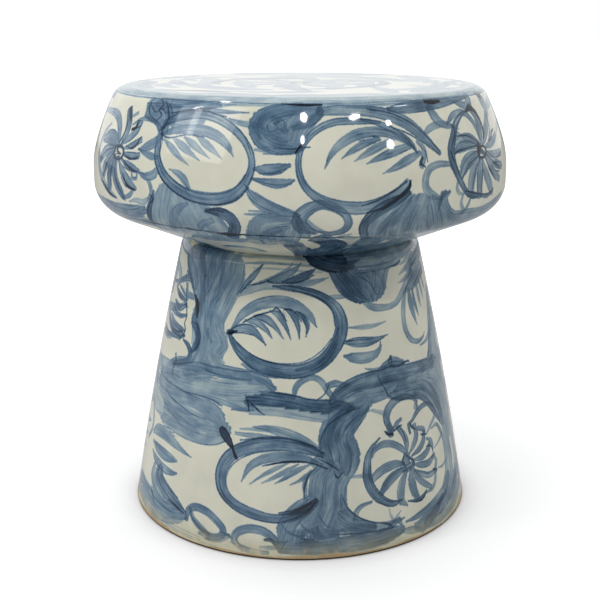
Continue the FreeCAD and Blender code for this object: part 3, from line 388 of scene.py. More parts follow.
VINE = brushed(
    (0.46, 0.12, -40, 292, 12, -38.6, 280, 15, -38.4, 268, 15, -39.6, 254, 13, -40.4, 240, 12,
     -40, 222, 10, -39.4, 204, 10, -40, 190, 10),
    (0.38, 0.12, -31.4, 275, 15, -31.6, 270, 16, -33, 262, 17, -36, 245, 17, -38.6, 228, 16.5,
     -37, 213, 14, -34.6, 205, 13, -36.8, 196, 14, -34.4, 186, 9),
    (0.46, 0.12, -46, 275, 15, -46, 270, 17, -45.5, 262, 16, -44.5, 245, 12, -43.5, 230, 11,
     -43, 215, 10, -42.5, 200, 11, -44, 188, 12, -46, 180, 10),
    (0.6, 0.12, -58, 279, 13, -57, 276, 13, -54, 270, 12, -52, 258, 8),
    (0.4, 0.1, -52, 292, 4, -50, 278, 5.4, -48, 264, 4.4, -46.4, 252, 2),
    (0.36, 0.1, -42, 288, 3, -43, 272, 5, -44.6, 256, 4, -45.6, 244, 1.4),
    (0.55, 0.1, -54, 291, 4, -49, 288, 5.4, -42, 286, 5.2, -36, 285, 2),
    (0.5, 0.1, -51, 284, 3, -48.6, 276, 5, -47, 268, 3),
    (0.3, 0.1, -29, 292, 3, -32, 274, 5, -35.6, 256, 4.4, -37, 240, 2),
    (0.3, 0.1, -31, 214, 2, -35.6, 205, 5, -35, 194, 5.4, -31, 187, 2),
    (0.32, 0.1, -36, 252, 2, -40, 236, 5, -40.4, 218, 5, -38, 206, 2),
    (0.4, 0.1, -77, 288, 4, -67, 284.6, 5, -58, 282, 4, -50, 284, 3),
    (0.66, 0, -60.6, 264, 1, -56.8, 260, 2.4, -53.6, 252, 2.4, -50.8, 244, 1.6),
    (1.5, 0.1, -50.4, 243, 1.4, -48.8, 238, 2.6, -48, 232, 2.8, -47.6, 226, 1.4),
    (0.672, 0, -45, 271, 0.5, -46.6, 262, 1, -44.8, 250, 1, -44.8, 240, 0.5),
    (0.616, 0, -38, 278, 0.5, -40.6, 262, 0.8, -43.6, 248, 0.6),
    (0.56, 0, -35.4, 272, 0.5, -36.6, 264, 0.7, -37, 258.6, 0.5),
    (0.7, 0.15, -50.6, 243, 1.6, -48.4, 236, 3.6, -48.6, 226, 4, -49.2, 219, 4, -46.6, 213, 4.4,
     -44.8, 205, 3.8, -45.2, 196.6, 3.4, -47, 190.6, 1.6),
    (0.35, 0.1, -50, 229, 2, -49, 221, 4.6, -47.4, 210, 5, -47.4, 200, 3.4),
    (1.23, 0, -48.8, 238, 0.8, -47.8, 232, 1.4, -47.4, 225, 0.8),
    (0.896, 0, -49.4, 218, 0.5, -46.4, 216, 0.7, -44.8, 209, 0.6, -44.2, 200, 0.8, -45.6, 192, 0.5),
    (0.52, 0.3, -66, 162, 2, -57.6, 170.6, 6.6, -47.6, 176, 7.4, -36.6, 178, 6.6, -24.6, 178, 6.4,
     -15, 174.6, 6.8, -10.4, 168, 3.6),
    (0.616, 0, -56, 171, 0.6, -49.4, 176.6, 1.1, -43, 180.8, 0.8, -35, 180.9, 1, -25, 181, 0.7,
     -18.6, 182, 0.5),
    (0.504, 0, -38, 176, 0.8, -28.6, 173.4, 1.4, -19, 174, 0.9),
    (0.36, 0.12, -79, 159, 7, -70, 160, 9, -62, 161.6, 9, -54, 165, 7),
    (0.2, 0.05, -78, 126, 12, -71, 125, 14, -66, 122, 12, -63, 118, 8),
    (0.42, 0.2, -70, 155, 6, -60, 160, 8, -50, 160.6, 8, -42, 167, 4.4, -36, 170.4, 1.2),
    (0.3, 0.1, -60, 152, 2, -48, 155, 6, -36, 158.6, 10, -24, 160.6, 10.6, -13, 166, 6),
    (0.3, 0.1, -46, 150, 1, -34, 152.6, 5, -24, 149.6, 5.6, -18.4, 145.4, 3),
    (0.56, 0, -70, 150.4, 0.7, -60, 149, 1, -50, 148, 0.7, -46, 148.6, 0.4),
    (0.4, 0.15, -74, 143, 4, -62, 142.6, 8, -50, 143, 8, -39, 142, 8, -31.6, 136, 7.6,
     -29.4, 127, 6),
    (0.36, 0.12, -74, 132, 6, -62, 131.6, 8, -50, 131, 8, -40, 130, 8, -33, 127, 7),
    (0.36, 0.12, -66, 120, 4, -58, 119.6, 7.6, -48, 119, 8, -38, 118, 8, -30.4, 118, 7),
    (0.4, 0.2, -62, 110, 3, -54, 109.4, 6, -45, 108.6, 7, -36, 109, 7, -30, 113, 7, -26.8, 120, 5,
     -26.6, 127, 1.6),
    (0.3, 0.1, -61, 125, 2, -54, 122, 4.4, -46, 116, 4.4, -39, 113, 2),
    (0.24, 0.1, -45, 139, 2, -37, 136.4, 5, -31, 129, 5, -29.6, 119, 3),
    (0.672, 0, -62, 139, 0.5, -56.6, 135.4, 1.1, -50, 132.6, 0.9, -43.6, 128.9, 0.8,
     -36.6, 127.6, 0.5),
    (0.728, 0, -48.6, 147.4, 0.5, -41.6, 149.4, 0.9, -34.6, 148.8, 0.8, -30, 145.4, 0.5),
    (0.28, 0, -70, 110.6, 0.6, -63.6, 112.4, 1.4, -57.6, 115.6, 1.2),
    (0.8, 0.2, -18.6, 156, 8, -12, 156.6, 8.6, -4, 154.6, 8, 4, 150.6, 7.4, 11, 149.6, 7,
     14.6, 150.6, 5),
    (0.3, 0.2, -17, 145.6, 5, -8, 146.6, 5.4, 1, 143.6, 5.6, 7, 140.6, 5, 10.6, 139, 3.4),
    (0.672, 0, -14.6, 163.6, 0.6, -8, 163.6, 1.1, -2, 161.4, 1, 4, 157.6, 1, 11, 156.6, 0.7),
    (0.56, 0, -14, 150, 0.5, -6, 151, 0.7, 2, 149.4, 0.5, 9, 149.2, 0.4),
    (1.01, 0, -20, 158, 0.6, -19, 151.6, 0.8, -18.6, 146, 0.6),
    (1.12, 0, -18.6, 153.6, 0.5, -16, 147.6, 0.9, -13.2, 142.4, 0.5),
    (0.45, 0.1, -24.6, 143.6, 1, -21, 144.6, 2.2, -17.6, 146, 2),
    (0.66, 0.3, 10.6, 153, 3, 16, 162.6, 8, 22.6, 168, 10, 30, 170, 10, 38, 170.4, 9, 47, 169, 9,
     57, 166.6, 9, 66, 166, 7, 76, 168, 5),
    (0.5, 0.15, 14, 148.6, 3, 20, 154, 8.6, 26, 156.6, 9.6, 32, 157.6, 8, 37, 160, 6),
    (0.62, 0.15, 34, 153.4, 3, 39, 153, 8, 45, 152.6, 10.4, 51.4, 150, 12, 57, 141, 13,
     61, 128, 13, 64.4, 113, 10, 66, 99, 3),
    (0.36, 0.1, 71, 94, 14, 71.6, 120, 16, 71.4, 145, 17, 70.6, 165, 15, 72.6, 185, 13,
     77, 205, 12),
    (0.42, 0.05, 46, 162, 6, 56, 160, 9, 64, 152, 11, 69, 138, 12, 72.6, 122, 9, 76, 108, 5),
    (0.784, 0, 31, 178.4, 0.7, 37, 180.4, 1.4, 41.6, 178.6, 1.2, 46, 180.6, 0.8),
    (0.55, 0.15, 31.6, 179.6, 2, 35.4, 182.2, 4.6, 38.6, 183.4, 5.6, 42.6, 181.4, 3),
    (0.8, 0, 36.4, 187, 0.6, 37.6, 189, 1.1, 37.8, 185, 0.7),
    (0.7, 0, 41.6, 178.6, 0.6, 44, 180.6, 0.9, 46.6, 180.2, 0.8),
    (0.3, 0.1, 47.6, 148, 2.6, 48.4, 141, 2.8, 47.4, 134, 2.6),
    (1.2, 0, 31.6, 117.4, 0.8, 32.6, 115, 1.6, 34.2, 113.6, 0.9),
    (1, 0, 35.6, 117, 0.6, 36.8, 118.6, 1.1, 38.4, 119.6, 0.8),
    (1, 0, 43.4, 117.6, 0.7, 44, 114.6, 1.3, 45.2, 112, 0.9),
    (1, 0, 48.6, 103.4, 0.6, 49.6, 102.6, 1.1, 51, 101.6, 0.7),
    (0.784, 0, 37.6, 189.6, 0.4, 36.4, 184, 1.1, 38.4, 178.6, 0.7),
    (0.84, 0, 30.6, 173.6, 0.5, 31.6, 166.6, 0.6, 33.4, 159, 0.6, 34.4, 152.6, 0.7,
     38.6, 146.4, 0.5),
    (0.5, 0.1, 61, 170, 4, 64.6, 181, 5, 68.6, 197, 6.6, 72.4, 214, 7.6, 77, 233, 8),
    (0.6, 0, 62, 171, 1.6, 66, 171.6, 3, 69, 168, 1.6),
    (0.6, 0.15, 25, 156, 8, 20.6, 147, 13, 16, 137, 17, 13, 125, 17, 12.9, 113, 18.6,
     14, 103, 19.4, 14, 94, 16.4, 13, 86, 12),
    (0.54, 0.12, 13.2, 96, 15, 11.8, 87, 16.6, 9.6, 76, 19, 9, 64, 19.4, 8.8, 54, 20,
     7.8, 46, 22.4),
    (0.5, 0.12, 4, 52, 13, 0.6, 44, 15, -2.2, 34, 15, -3, 24, 13),
    (0.58, 0.12, 11.4, 48, 11, 14, 39, 11, 17.4, 32, 9, 23, 26.6, 6),
    (0.54, 0.12, 6, 40, 12, 6.6, 30, 12, 9, 23, 10),
    (0.64, 0.12, -4.6, 14.4, 7.6, 2, 13.6, 8.6, 12, 13.4, 8.4, 22, 14, 8.4, 30, 15.4, 7.4,
     34.4, 16.4, 4),
    (0.4, 0.12, 14, 29, 1.4, 20, 26.6, 4.4, 26, 25, 5, 31, 25, 3.6, 35.6, 27, 0.9),
    (0.3, 0.1, -4.4, 28, 1.4, 1, 27.4, 4.4, 8, 26, 5, 14, 26, 2),
    (0.4, 0.1, 3.4, 88, 1, 1.8, 80, 2.4, 1.6, 70, 2.4, 2, 62, 1.2),
    (0.45, 0.1, 22, 147, 1, 17.6, 145, 3, 13.4, 139, 4.6, 10.6, 130, 5.4, 9.4, 119, 5.4,
     9.2, 108, 5, 10, 98, 4, 12.4, 88, 2),
    (0.868, 0, 21, 145.6, 0.7, 17.2, 143.6, 1, 13, 138, 1, 9.6, 131.6, 1, 7.4, 121, 0.9,
     6.8, 110, 0.8, 7.8, 100, 0.6),
    (0.3, 0.1, 16, 136, 1, 13.4, 126, 3, 12.6, 114, 3, 13.6, 102, 1.4),
    (0.616, 0, 26.6, 142, 0.4, 20, 136.6, 0.6, 15.8, 127, 0.6, 14, 115, 0.4),
    (0.55, 0.1, 11, 155, 1.4, 13, 151.6, 4.6, 15.6, 149.6, 5, 19, 147, 2),
    (0.4, 0.1, 15.6, 112, 1.4, 17.4, 104, 3.4, 16.6, 95, 4, 14, 87, 2),
    (1.26, 0, 7, 99, 0.5, 9.5, 95, 0.9, 12.5, 89, 0.8),
    (1.26, 0, 11.5, 86, 0.5, 12.5, 80, 0.8, 14, 84, 0.5),
    (0.72, 0.3, -4, 46, 0.6, 0, 49, 2.2, 3, 54, 3.2, 4.6, 58, 2.4),
    (0.95, 0, 5.4, 92, 0.5, 2.9, 84, 0.9, 1.5, 74, 0.9, 1.3, 62, 0.5),
    (0.6, 0.1, 4.6, 56, 5, 7.6, 53.6, 6, 10.6, 49.6, 5),
    (0.5, 0.1, 5.6, 97, 5, 9.4, 101, 7.4, 13, 108, 6.4, 15, 116, 3),
    (0.784, 0, 13.8, 62, 0.5, 15.8, 48.6, 0.8, 19.4, 38, 1, 24.6, 30.6, 0.8, 29.6, 27, 0.7),
    (1.01, 0, 27.6, 28, 0.9, 29.8, 25.4, 1.5, 31, 22, 0.8),
    (0.84, 0, 9.6, 25, 0.5, 17, 23, 1.1, 24, 21.6, 0.8, 30, 21, 0.5),
    (0.504, 0, -6, 36, 0.8, -3.6, 28, 1.5, 1, 22, 0.8),
    (0.448, 0, -1, 42, 0.6, 1.6, 32, 1.1, 6.6, 24, 0.6),
    (0.448, 0, 6, 45, 0.6, 8, 35, 1.1, 13, 27, 0.6),
    (0.5, 0.1, 34.6, 22, 1.6, 33.4, 26.6, 3, 30.6, 23, 3),
    (0.46, 0.15, 35, 14, 2, 38.6, 12, 4, 42, 10, 3),
    (0.3, 0.1, -5, 8.4, 2, 5, 7.6, 3, 18, 7.4, 3, 28, 8, 2),
    (0.6, 0.1, 44, 8, 3, 47, 13, 5, 50.6, 18, 5.4, 54, 24, 4.4, 56.6, 30, 1.4),
    (0.9, 0, 54, 24, 1.2, 57, 26.6, 1.8, 60, 30, 1.2),
    (0.3, 0, -66, 9, 0.4, -50, 8, 0.6, -34, 6.6, 0.4),
    (0.3, 0, -60, 6.4, 0.4, -44, 5.4, 0.5, -28, 4.6, 0.4),
    (0.24, 0, -52, 11, 0.3, -40, 10, 0.5, -30, 8.4, 0.3),
    (0.55, 0.1, 37.2, 22.4, 1, 42, 23.6, 3.2, 48, 26.6, 4, 54, 30.6, 4.6, 60, 36, 5.4, 63, 44, 5),
    (0.5, 0.1, 41.6, 14, 4, 48, 16.6, 7, 56, 20.6, 8, 64, 27, 9, 72, 36, 9, 78, 48, 6),
    (0.4, 0.05, 43, 9, 3, 54, 10.6, 6, 66, 14.6, 7, 77, 22, 6),
    (0.896, 0, 51, 13.6, 0.6, 55, 14, 1.1, 57.6, 17, 0.5),
    (0.896, 0, 65, 26, 0.6, 68.6, 32.6, 1.5, 74, 38.6, 1),
    (0.34, 0.05, 66, 94, 5, 67.6, 78, 8, 68, 62, 9, 66.6, 46, 9, 64, 34, 6),
    (0.26, 0.05, 73, 104, 6, 75, 84, 8, 76, 62, 8, 75, 44, 8),
    (0.6, 0.1, -57.4, 57.6, 5, -57.6, 49, 8, -53, 41, 9, -47, 35, 6.4, -41.6, 28.6, 2.4),
    (0.4, 0.1, -62.4, 56, 3, -62.6, 45, 5, -59, 36, 6, -54, 31, 4),
    (0.46, 0.15, -76, 30, 5, -66, 24.6, 8, -55, 19.6, 10, -46.6, 19.6, 8.4, -41.4, 24, 3.4),
    (0.36, 0.05, -77, 15, 4, -66, 12.6, 6, -55, 11.6, 6, -47, 13.6, 4),
    (1.12, 0, -49.6, 33, 0.7, -45.6, 30.4, 1.4, -42, 27, 1),
    (1.01, 0, -63.6, 30.4, 0.8, -61.4, 28, 1.4, -59.8, 23, 0.8),
    (0.616, 0, -56, 57, 1.2, -54.4, 50, 1.4, -51.4, 45.6, 0.9, -45.6, 40, 0.6),
    (0.3, 0.1, -78, 122, 2.6, -74, 114, 3.6, -70.6, 101, 3.4, -70.6, 88, 3, -73.6, 78, 2.6),
)

RIGHT_LOOP = brushed(
    (0.95, 0.15, 4, 294, 4, 9, 289, 8, 16, 285, 8.6, 24, 284, 8, 32, 285.6, 5.6, 39, 287, 1.6),
    (0.4, 0.15, 20, 285, 7, 28, 285, 9.6, 35, 284.6, 9.6, 44, 285.6, 9.6, 52, 287.6, 8, 62, 291, 7,
     72, 293, 5),
    (0.6, 0.1, 6, 290, 1.4, 11, 286, 3.4, 18, 284, 3.4, 27, 287, 1),
    (0.78, 0.15, 14.6, 280, 5, 17.6, 271, 8, 20.4, 262.4, 9, 24.6, 254, 7, 29, 249.6, 3),
    (0.4, 0.1, 19, 276, 4, 22.6, 268, 5.4, 24.4, 260, 5),
    (0.6, 0.15, 23, 277, 7, 27.6, 267, 9.6, 30, 258, 9, 31, 251.6, 5),
    (0.44, 0.15, 39.6, 281, 9, 36.6, 270, 11.6, 35.4, 259, 8.6, 33.4, 251, 4),
    (0.3, 0.1, 33.6, 276, 2, 38, 268, 3, 39, 259, 2.4),
    (1.4, 0, 5, 286, 0.8, 9, 282, 1.2, 14, 278.6, 1, 18, 277.6, 0.5),
    (1.1, 0, 44, 276, 0.6, 48, 276.6, 1, 51, 278.4, 1.4),
    (0.84, 0, 26, 272, 0.4, 31, 265, 0.6, 34, 253, 0.5),
    (0.7, 0, 25, 274.6, 0.4, 33, 274.8, 0.7, 42, 275.4, 0.7, 50, 276, 0.6),
    (0.34, 0.2, 12, 254.6, 1.6, 16, 254.4, 2.4, 22, 255, 2),
    (0.45, 0.1, 15, 281, 0.8, 24, 281, 1.2, 36, 280, 1, 46, 281, 0.7),
    (0.36, 0.25, 27, 247, 1.6, 31.6, 240.6, 3.6, 38, 238.2, 3.2, 44, 239.8, 3, 48.6, 246.6, 3.6,
     53, 254, 4.4, 58.6, 262, 5),
    (0.38, 0.3, 51.6, 247, 1.8, 49.2, 237, 3.4, 47.8, 224, 3.4, 48, 211, 3.4, 50.4, 200.6, 3.2,
     54.6, 195.6, 2.6, 59.4, 196.4, 1.6, 61.6, 200, 0.6),
    (0.34, 0.15, 57, 190.4, 0.9, 62, 191.8, 2, 66.4, 196, 3.6, 70.6, 204, 5),
    (0.46, 0.15, 53.6, 250, 3.4, 59, 254, 6.6, 65, 258, 7.6, 72, 262, 7),
    (0.4, 0.1, 56.6, 270, 4, 63, 272, 7, 70, 276, 8, 77, 281, 7),
    (0.5, 0.15, 54.6, 247, 2.4, 54.4, 236, 4.6, 55.2, 225, 3.6, 56.6, 212.6, 0.6),
    (0.46, 0.1, 57.6, 246, 2, 57.6, 236, 3, 58.4, 228, 2.4, 59.2, 220.6, 0.6),
    (0.42, 0.1, 62.4, 246, 2.4, 62.4, 238, 2.8, 63, 228, 0.7),
    (0.4, 0.1, 66.4, 250, 2.4, 66.8, 243, 2.6, 67.2, 234, 0.7),
    (0.36, 0.1, 70.4, 254, 2.4, 71, 247, 2.4, 71.6, 240, 0.7),
    (0.44, 0.1, 48.4, 258.4, 0.6, 53, 260.4, 2.4, 59, 266, 4),
    (0.4, 0.1, 49.6, 266.4, 0.6, 54, 269.4, 2.4, 60, 274, 3.6),
    (0.36, 0.1, 52, 275.6, 0.6, 56.4, 278, 2.4, 63, 283, 3.6),
    (1.01, 0, 58.4, 266.6, 0.5, 61.4, 270.4, 1.1, 66, 273.4, 1, 70, 276, 0.5),
    (1.01, 0, 60.4, 251, 0.5, 64.4, 255.6, 1, 69.6, 259, 1.1, 73, 262, 0.5),
    (0.896, 0, 50.8, 247, 0.5, 54, 253, 0.8, 57.4, 258.6, 0.7),
)

SMALL_RINGS = brushed(
    (0.42, 0.25, -2.2, 161, 2, -1.4, 170, 3, 1.4, 177, 3.2, 5, 179, 3, 8, 174.4, 3, 10, 166, 3,
     12.4, 157, 2.6),
    (0.784, 0, 5.6, 156.6, 0.4, 8.8, 162, 0.6, 10.6, 170.4, 0.5),
    (0.42, 0.2, 10.8, 170.6, 3, 13, 172, 3.4, 16.6, 169.6, 2.4, 19, 168, 1),
    (0.52, 0.25, -40, 24, 2.6, -39.6, 32, 3.6, -36.6, 38, 4.2, -32, 37, 4.2, -28, 30.6, 4,
     -25.4, 23.6, 3.8, -25.8, 16.6, 3.8, -29.4, 12, 3.6, -33.6, 13, 2),
    (0.5, 0.25, -38.6, 33.4, 2, -37.4, 26.6, 3, -34.6, 20.4, 3.4, -31.4, 16, 2.4, -29.8, 14.8, 1),
    (0.896, 0, -38.8, 32.6, 0.5, -37.4, 25.6, 0.7, -34.6, 19.6, 0.5),
    (1.01, 0, -33.4, 16.6, 0.5, -31.6, 16, 0.8, -30.4, 15.4, 0.5),
    (0.5, 0.3, -18.6, 7.4, 2, -21.2, 15, 3.6, -20, 24, 4.2, -15.8, 29, 4.4, -11.4, 27.4, 4.2,
     -8.6, 21.6, 4, -7.2, 16, 3),
    (0.4, 0.1, -19.4, 10, 2.4, -15.6, 7, 3, -10.6, 6.6, 2),
    (0.4, 0.1, -33.6, 17, 2, -31, 13, 4, -27, 13, 4.4, -23.6, 17, 2.6),
    (0.36, 0.1, -12, 11.4, 1.2, -9.4, 11.6, 2.2, -7, 12, 1.6),
    (0.8, 0.1, -10.6, 19.4, 1.4, -9, 19.4, 2, -7.8, 15.6, 1.8, -6.8, 10, 0.9),
    (0.9, 0, -10.6, 20, 0.5, -8.6, 20.4, 0.6, -7.8, 18.4, 0.5, -5.6, 18.4, 0.5, -3.6, 19.4, 0.4),
    (0.8, 0, -4.2, 18.6, 0.4, -5.4, 14, 0.6, -6.4, 8, 0.4),
    (0.7, 0, 0, 20.6, 0.4, 3, 22, 0.6, 6.6, 21, 0.5, 10, 22.6, 0.6, 13, 20.6, 0.4),
    (0.6, 0, -25.4, 20, 0.8, -23.8, 19, 1.6, -22.4, 17, 1),
)

# The seat's side and underside, with heights up the surface from the crease
LEFT_CAP_FLOWER = brushed(
    (0.51, 0.4, -56, 170.6, 2.6, -58.6, 174.4, 5.9, -62.4, 174.6, 7.2, -66, 171.6, 3.6),
    (0.51, 0.35, -57, 165, 2.6, -60, 163, 5.1, -63.4, 158.6, 6.1, -65.6, 151.6, 4.1),
    (0.53, 0.3, -57, 158.6, 3.1, -59.4, 153, 5.6, -61.4, 146, 5.9, -62.4, 138.6, 4.1),
    (0.53, 0.3, -56, 156, 2.6, -57.6, 147, 4.9, -58.4, 138, 5.4, -58.4, 129, 4.4),
    (0.51, 0.3, -54.6, 155, 2.3, -55.2, 145, 4.9, -54.4, 135, 5.6, -52, 125.6, 4.6, -50.4, 121, 2),
    (0.48, 0.7, -53, 153.4, 1.5, -51, 145, 4.1, -48.2, 137.4, 4.6, -45.6, 132.4, 2.3),
    (0.48, 0.7, -51.6, 155.4, 1.3, -49, 152.4, 3.6, -46.4, 150, 3.6, -44.4, 148.6, 2),
    (0.48, 0.7, -51.4, 162.4, 1.3, -48.6, 161, 3.6, -45.4, 162, 3.1),
    (0.48, 0.7, -51.6, 167, 1.3, -48.4, 171, 3.3, -45.8, 176, 3.1),
    (0.48, 0.6, -53, 171.4, 1.3, -50.4, 177.6, 3.6, -48.2, 184.6, 3.8, -47.4, 191.6, 2.8),
    (0.57, 0.5, -53.8, 172.4, 1.5, -52.8, 182, 4.6, -53, 191.6, 4.9, -54.6, 201.6, 4.4),
    (0.46, 0.35, -55.4, 174, 1.8, -57.4, 185, 4.1, -60, 193.6, 4.6, -63.6, 197.6, 4.1,
     -68, 198.4, 3.3, -74, 198, 2.6),
    (0.36, 0.2, -64.6, 186, 1.4, -67.6, 177, 3, -69, 166, 3.4, -68.2, 153, 3.4, -66, 140, 4,
     -62.6, 130, 4.4, -58.6, 122.6, 3.6, -54.8, 119, 1.4),
    (1.29, 0, -56.8, 165, 1, -57, 160, 1.5, -55.6, 156.4, 1.6, -53, 156.4, 1.5, -51.8, 160, 1.4,
     -52, 165, 1.4, -53.6, 168, 1.3, -55.4, 167, 1.5, -55, 163, 1.2, -53.4, 161, 1),
    (0.896, 0, -60.8, 166.6, 0.4, -57.6, 167.4, 1.1, -54.4, 168.6, 1.5, -53.6, 172.6, 1.2),
    (1.33, 0, -54.4, 203.4, 2.6, -53.4, 199, 2.6, -52.6, 195, 1.2),
    (1.01, 0, -49.8, 186.6, 1.1, -48.6, 187.6, 0.8, -47.2, 189.4, 0.7),
    (0.896, 0, -48.4, 168.6, 0.6, -47.4, 170.6, 0.8, -46, 176.6, 0.7),
    (0.896, 0, -50.6, 159.4, 0.5, -48, 158.6, 0.7, -45.4, 160.4, 0.7),
    (0.952, 0, -50.6, 149.6, 0.5, -47.4, 147.2, 0.7, -44.6, 148, 0.7),
    (1.01, 0, -51.4, 139, 0.5, -49.4, 132.4, 0.7, -45.8, 130.6, 0.7),
    (0.42, 0.2, -50.4, 121, 1.6, -48, 124, 2.4, -46.4, 129, 1.6),
    (0.4, 0.3, -46.8, 146, 0.9, -46.4, 141, 1.6, -44.8, 141.4, 1.4, -44.6, 146.6, 0.9),
    (0.36, 0.1, -50.4, 201, 1.8, -51.8, 198.6, 1.6),
)

LEFT_PETAL_EDGES = brushed(
    (1.54, 0, -50.6, 142, 0.5, -49.4, 135.4, 1.2, -47.6, 131.6, 1.4, -45.7, 130.6, 0.9),
    (1.43, 0, -51.6, 156.6, 0.5, -48.8, 151.4, 1.1, -46.6, 148.6, 1.2, -45, 147.6, 0.8),
    (1.32, 0, -51.4, 161, 0.7, -48.4, 158.4, 1.1, -45.8, 159.2, 0.9),
    (1.21, 0, -51, 169, 0.5, -48.4, 168, 1.1, -46.6, 172, 1.1, -45.6, 178, 0.8),
    (1.76, 0, -50, 186, 1.4, -49, 187.4, 1.5, -48.6, 193, 1.1),
    (1.1, 0, -57.6, 165, 0.7, -62, 160.6, 0.9, -65.4, 151, 0.7),
    (1.1, 0, -57.4, 159, 0.7, -60.4, 149, 1.1, -62.4, 137.6, 0.8),
    (1.21, 0, -56, 156, 0.8, -57.2, 144, 1.4, -57.2, 130, 0.9),
    (0.99, 0, -54.8, 154.6, 0.7, -55.2, 143, 0.9, -53.6, 131.6, 0.9, -50.6, 121.6, 0.7),
    (1.32, 0, -64.4, 130.6, 0.8, -62, 127.4, 1.5, -58.6, 121.6, 1.4, -55.2, 118.8, 0.8),
    (1.32, 0, -55, 172, 0.7, -53.6, 183, 1.1, -53.8, 192, 1.1),
)

LEFT_CAP_LOOP = brushed(
    (0.47, 1, -37.6, 194, 2, -38.6, 184, 3, -38.4, 172, 3.6, -37.8, 162, 3.6, -35.6, 150, 4,
     -32, 139.6, 4.6, -27, 132, 5.2, -21.6, 130, 5.2, -16.6, 134, 4.8, -13.2, 144.6, 4,
     -11.5, 159, 3.2, -12.1, 173, 3, -14.6, 186, 3.2, -18.4, 196.6, 3.6, -23, 203.4, 4,
     -28, 205.6, 4.4, -33, 202.6, 4.4, -37, 196.6, 3),
    (1.01, 0, -39.2, 172, 0.5, -38.2, 158, 0.7, -35.2, 143, 0.8, -30.4, 131.6, 1, -25, 125.8, 1,
     -19.6, 125.4, 0.9, -15, 131, 0.8, -12.4, 141, 0.6),
    (0.672, 0, -37.2, 180, 0.4, -37.2, 166, 0.6, -34.6, 152, 0.7, -30.4, 141.4, 0.7,
     -25.6, 136.6, 0.6, -20, 136, 0.5, -15.4, 142, 0.5, -12.8, 154, 0.4),
    (0.504, 0, -38, 166, 0.4, -35.6, 150, 0.6, -31, 138, 0.7, -25, 130.6, 0.6, -19, 130.6, 0.5),
    (0.672, 0, -20.4, 204.4, 0.4, -17, 197.4, 0.6, -13.8, 186.6, 0.5, -12, 172, 0.4),
    (1.01, 0, -28, 208.4, 0.5, -25, 208.6, 0.7, -22.6, 206.4, 0.7, -19.8, 204.4, 0.5),
    (0.42, 0.3, -37.4, 185, 1.6, -34, 189, 3.6, -29.4, 191.4, 4.4, -24.6, 190.4, 5,
     -20.8, 185.6, 4.6, -18, 178, 3, -16.4, 169.6, 0.5),
    (0.952, 0, -38, 184.6, 1.1, -36, 182, 0.7, -33.4, 183, 0.6, -30, 186, 0.6, -27, 185.6, 0.6,
     -25, 185, 0.3),
    (0.34, 0.2, -36.4, 179.6, 1, -33.6, 172.6, 3.4, -31, 165.6, 2.2, -28.2, 159.4, 0.5),
    (0.34, 0.2, -33.6, 181.6, 1.2, -30.6, 175.6, 3.8, -27.8, 169.6, 2.4, -25.4, 164.4, 0.5),
    (0.34, 0.2, -30, 183, 1.2, -27.4, 177.6, 3.6, -25, 172, 2.2, -22.6, 166.6, 0.5),
    (0.34, 0.2, -26.4, 184.6, 1.4, -23.8, 178.6, 3.6, -21.4, 172.6, 2.2, -19.4, 167, 0.5),
    (0.38, 0.3, -33, 153.4, 0.8, -30.6, 150.6, 3, -28.8, 145.4, 3.4, -27.6, 139.4, 1.6),
    (0.45, 0.2, -29, 209, 0.8, -24.4, 209.4, 2.2, -19.4, 208.6, 1.9, -13.8, 208.6, 0.5),
    (0.3, 0.1, -28.6, 214, 1.8, -23, 213.6, 2, -17.6, 216, 1),
    (0.34, 0.2, -18, 201.4, 1.4, -15, 198.6, 2.6, -11, 197, 2.6, -7, 195.6, 1.6),
    (0.5, 0.15, -45, 211, 6.4, -40, 212, 6.8, -33, 212.4, 6.6, -27, 213.4, 5.4, -22, 214.6, 2),
    (0.5, 0.15, -44.6, 203, 6, -41, 201, 7.4, -38.4, 197, 6.8, -37.4, 189, 4),
    (0.42, 0.15, -38, 205, 7, -32, 206.4, 7.4, -26.6, 209, 5.6),
    (1, 0, -41.8, 217, 0.5, -40.2, 212, 0.8, -41.4, 207, 0.7, -39.8, 202, 0.8, -41, 197, 0.6),
    (1, 0, -36, 205, 0.4, -32.6, 207.8, 0.8, -29, 210, 0.6, -24.6, 211, 0.5),
    (1.1, 0, -45.4, 217, 0.5, -45.9, 210, 0.8, -44.6, 202, 0.7, -42, 197.6, 0.6),
    (1.3, 0, -39.6, 215, 0.5, -38, 208, 0.8, -37, 200, 0.9, -37.8, 192, 1),
    (0.95, 0, -45, 210, 0.5, -42.4, 204.4, 0.7, -40.4, 208.6, 0.7, -38.6, 204.6, 0.5),
    (0.4, 0.1, -42, 213, 4, -38.4, 209, 5, -36.8, 202, 4),
    (0.34, 0.2, -37, 197, 2.4, -33.6, 195.6, 5, -30, 197, 5, -26.4, 199, 3),
    (0.784, 0, -37.6, 216, 0.4, -38.2, 206, 0.7, -36.6, 200.6, 0.8, -36.4, 195.6, 0.5, -38, 191, 1),
    (0.672, 0, -46.4, 199, 0.5, -43.6, 196, 0.7, -40.4, 194.6, 0.8, -38.4, 188.6, 1.1,
     -37.6, 181, 0.8),
    (0.46, 0.25, -45, 168.6, 0.8, -42.6, 171.4, 4, -40, 176, 5, -38.4, 182.6, 2),
    (0.42, 0.3, -45, 168, 0.8, -42.6, 165.6, 2.6, -40, 163.4, 3.4, -38.4, 163, 2),
    (0.42, 0.3, -43.8, 147, 1, -41.4, 144.6, 3.4, -38.6, 147, 4.2, -37.4, 154, 1.6),
    (0.5, 0.3, -50.4, 191, 1, -47.4, 196.6, 1.8, -43.6, 196.8, 2, -40.8, 194, 2, -39.6, 189, 1.6),
    (0.38, 0.3, -41.6, 143.6, 1, -39.8, 139, 2.2, -39.2, 131, 2.2, -40.4, 124, 1),
)

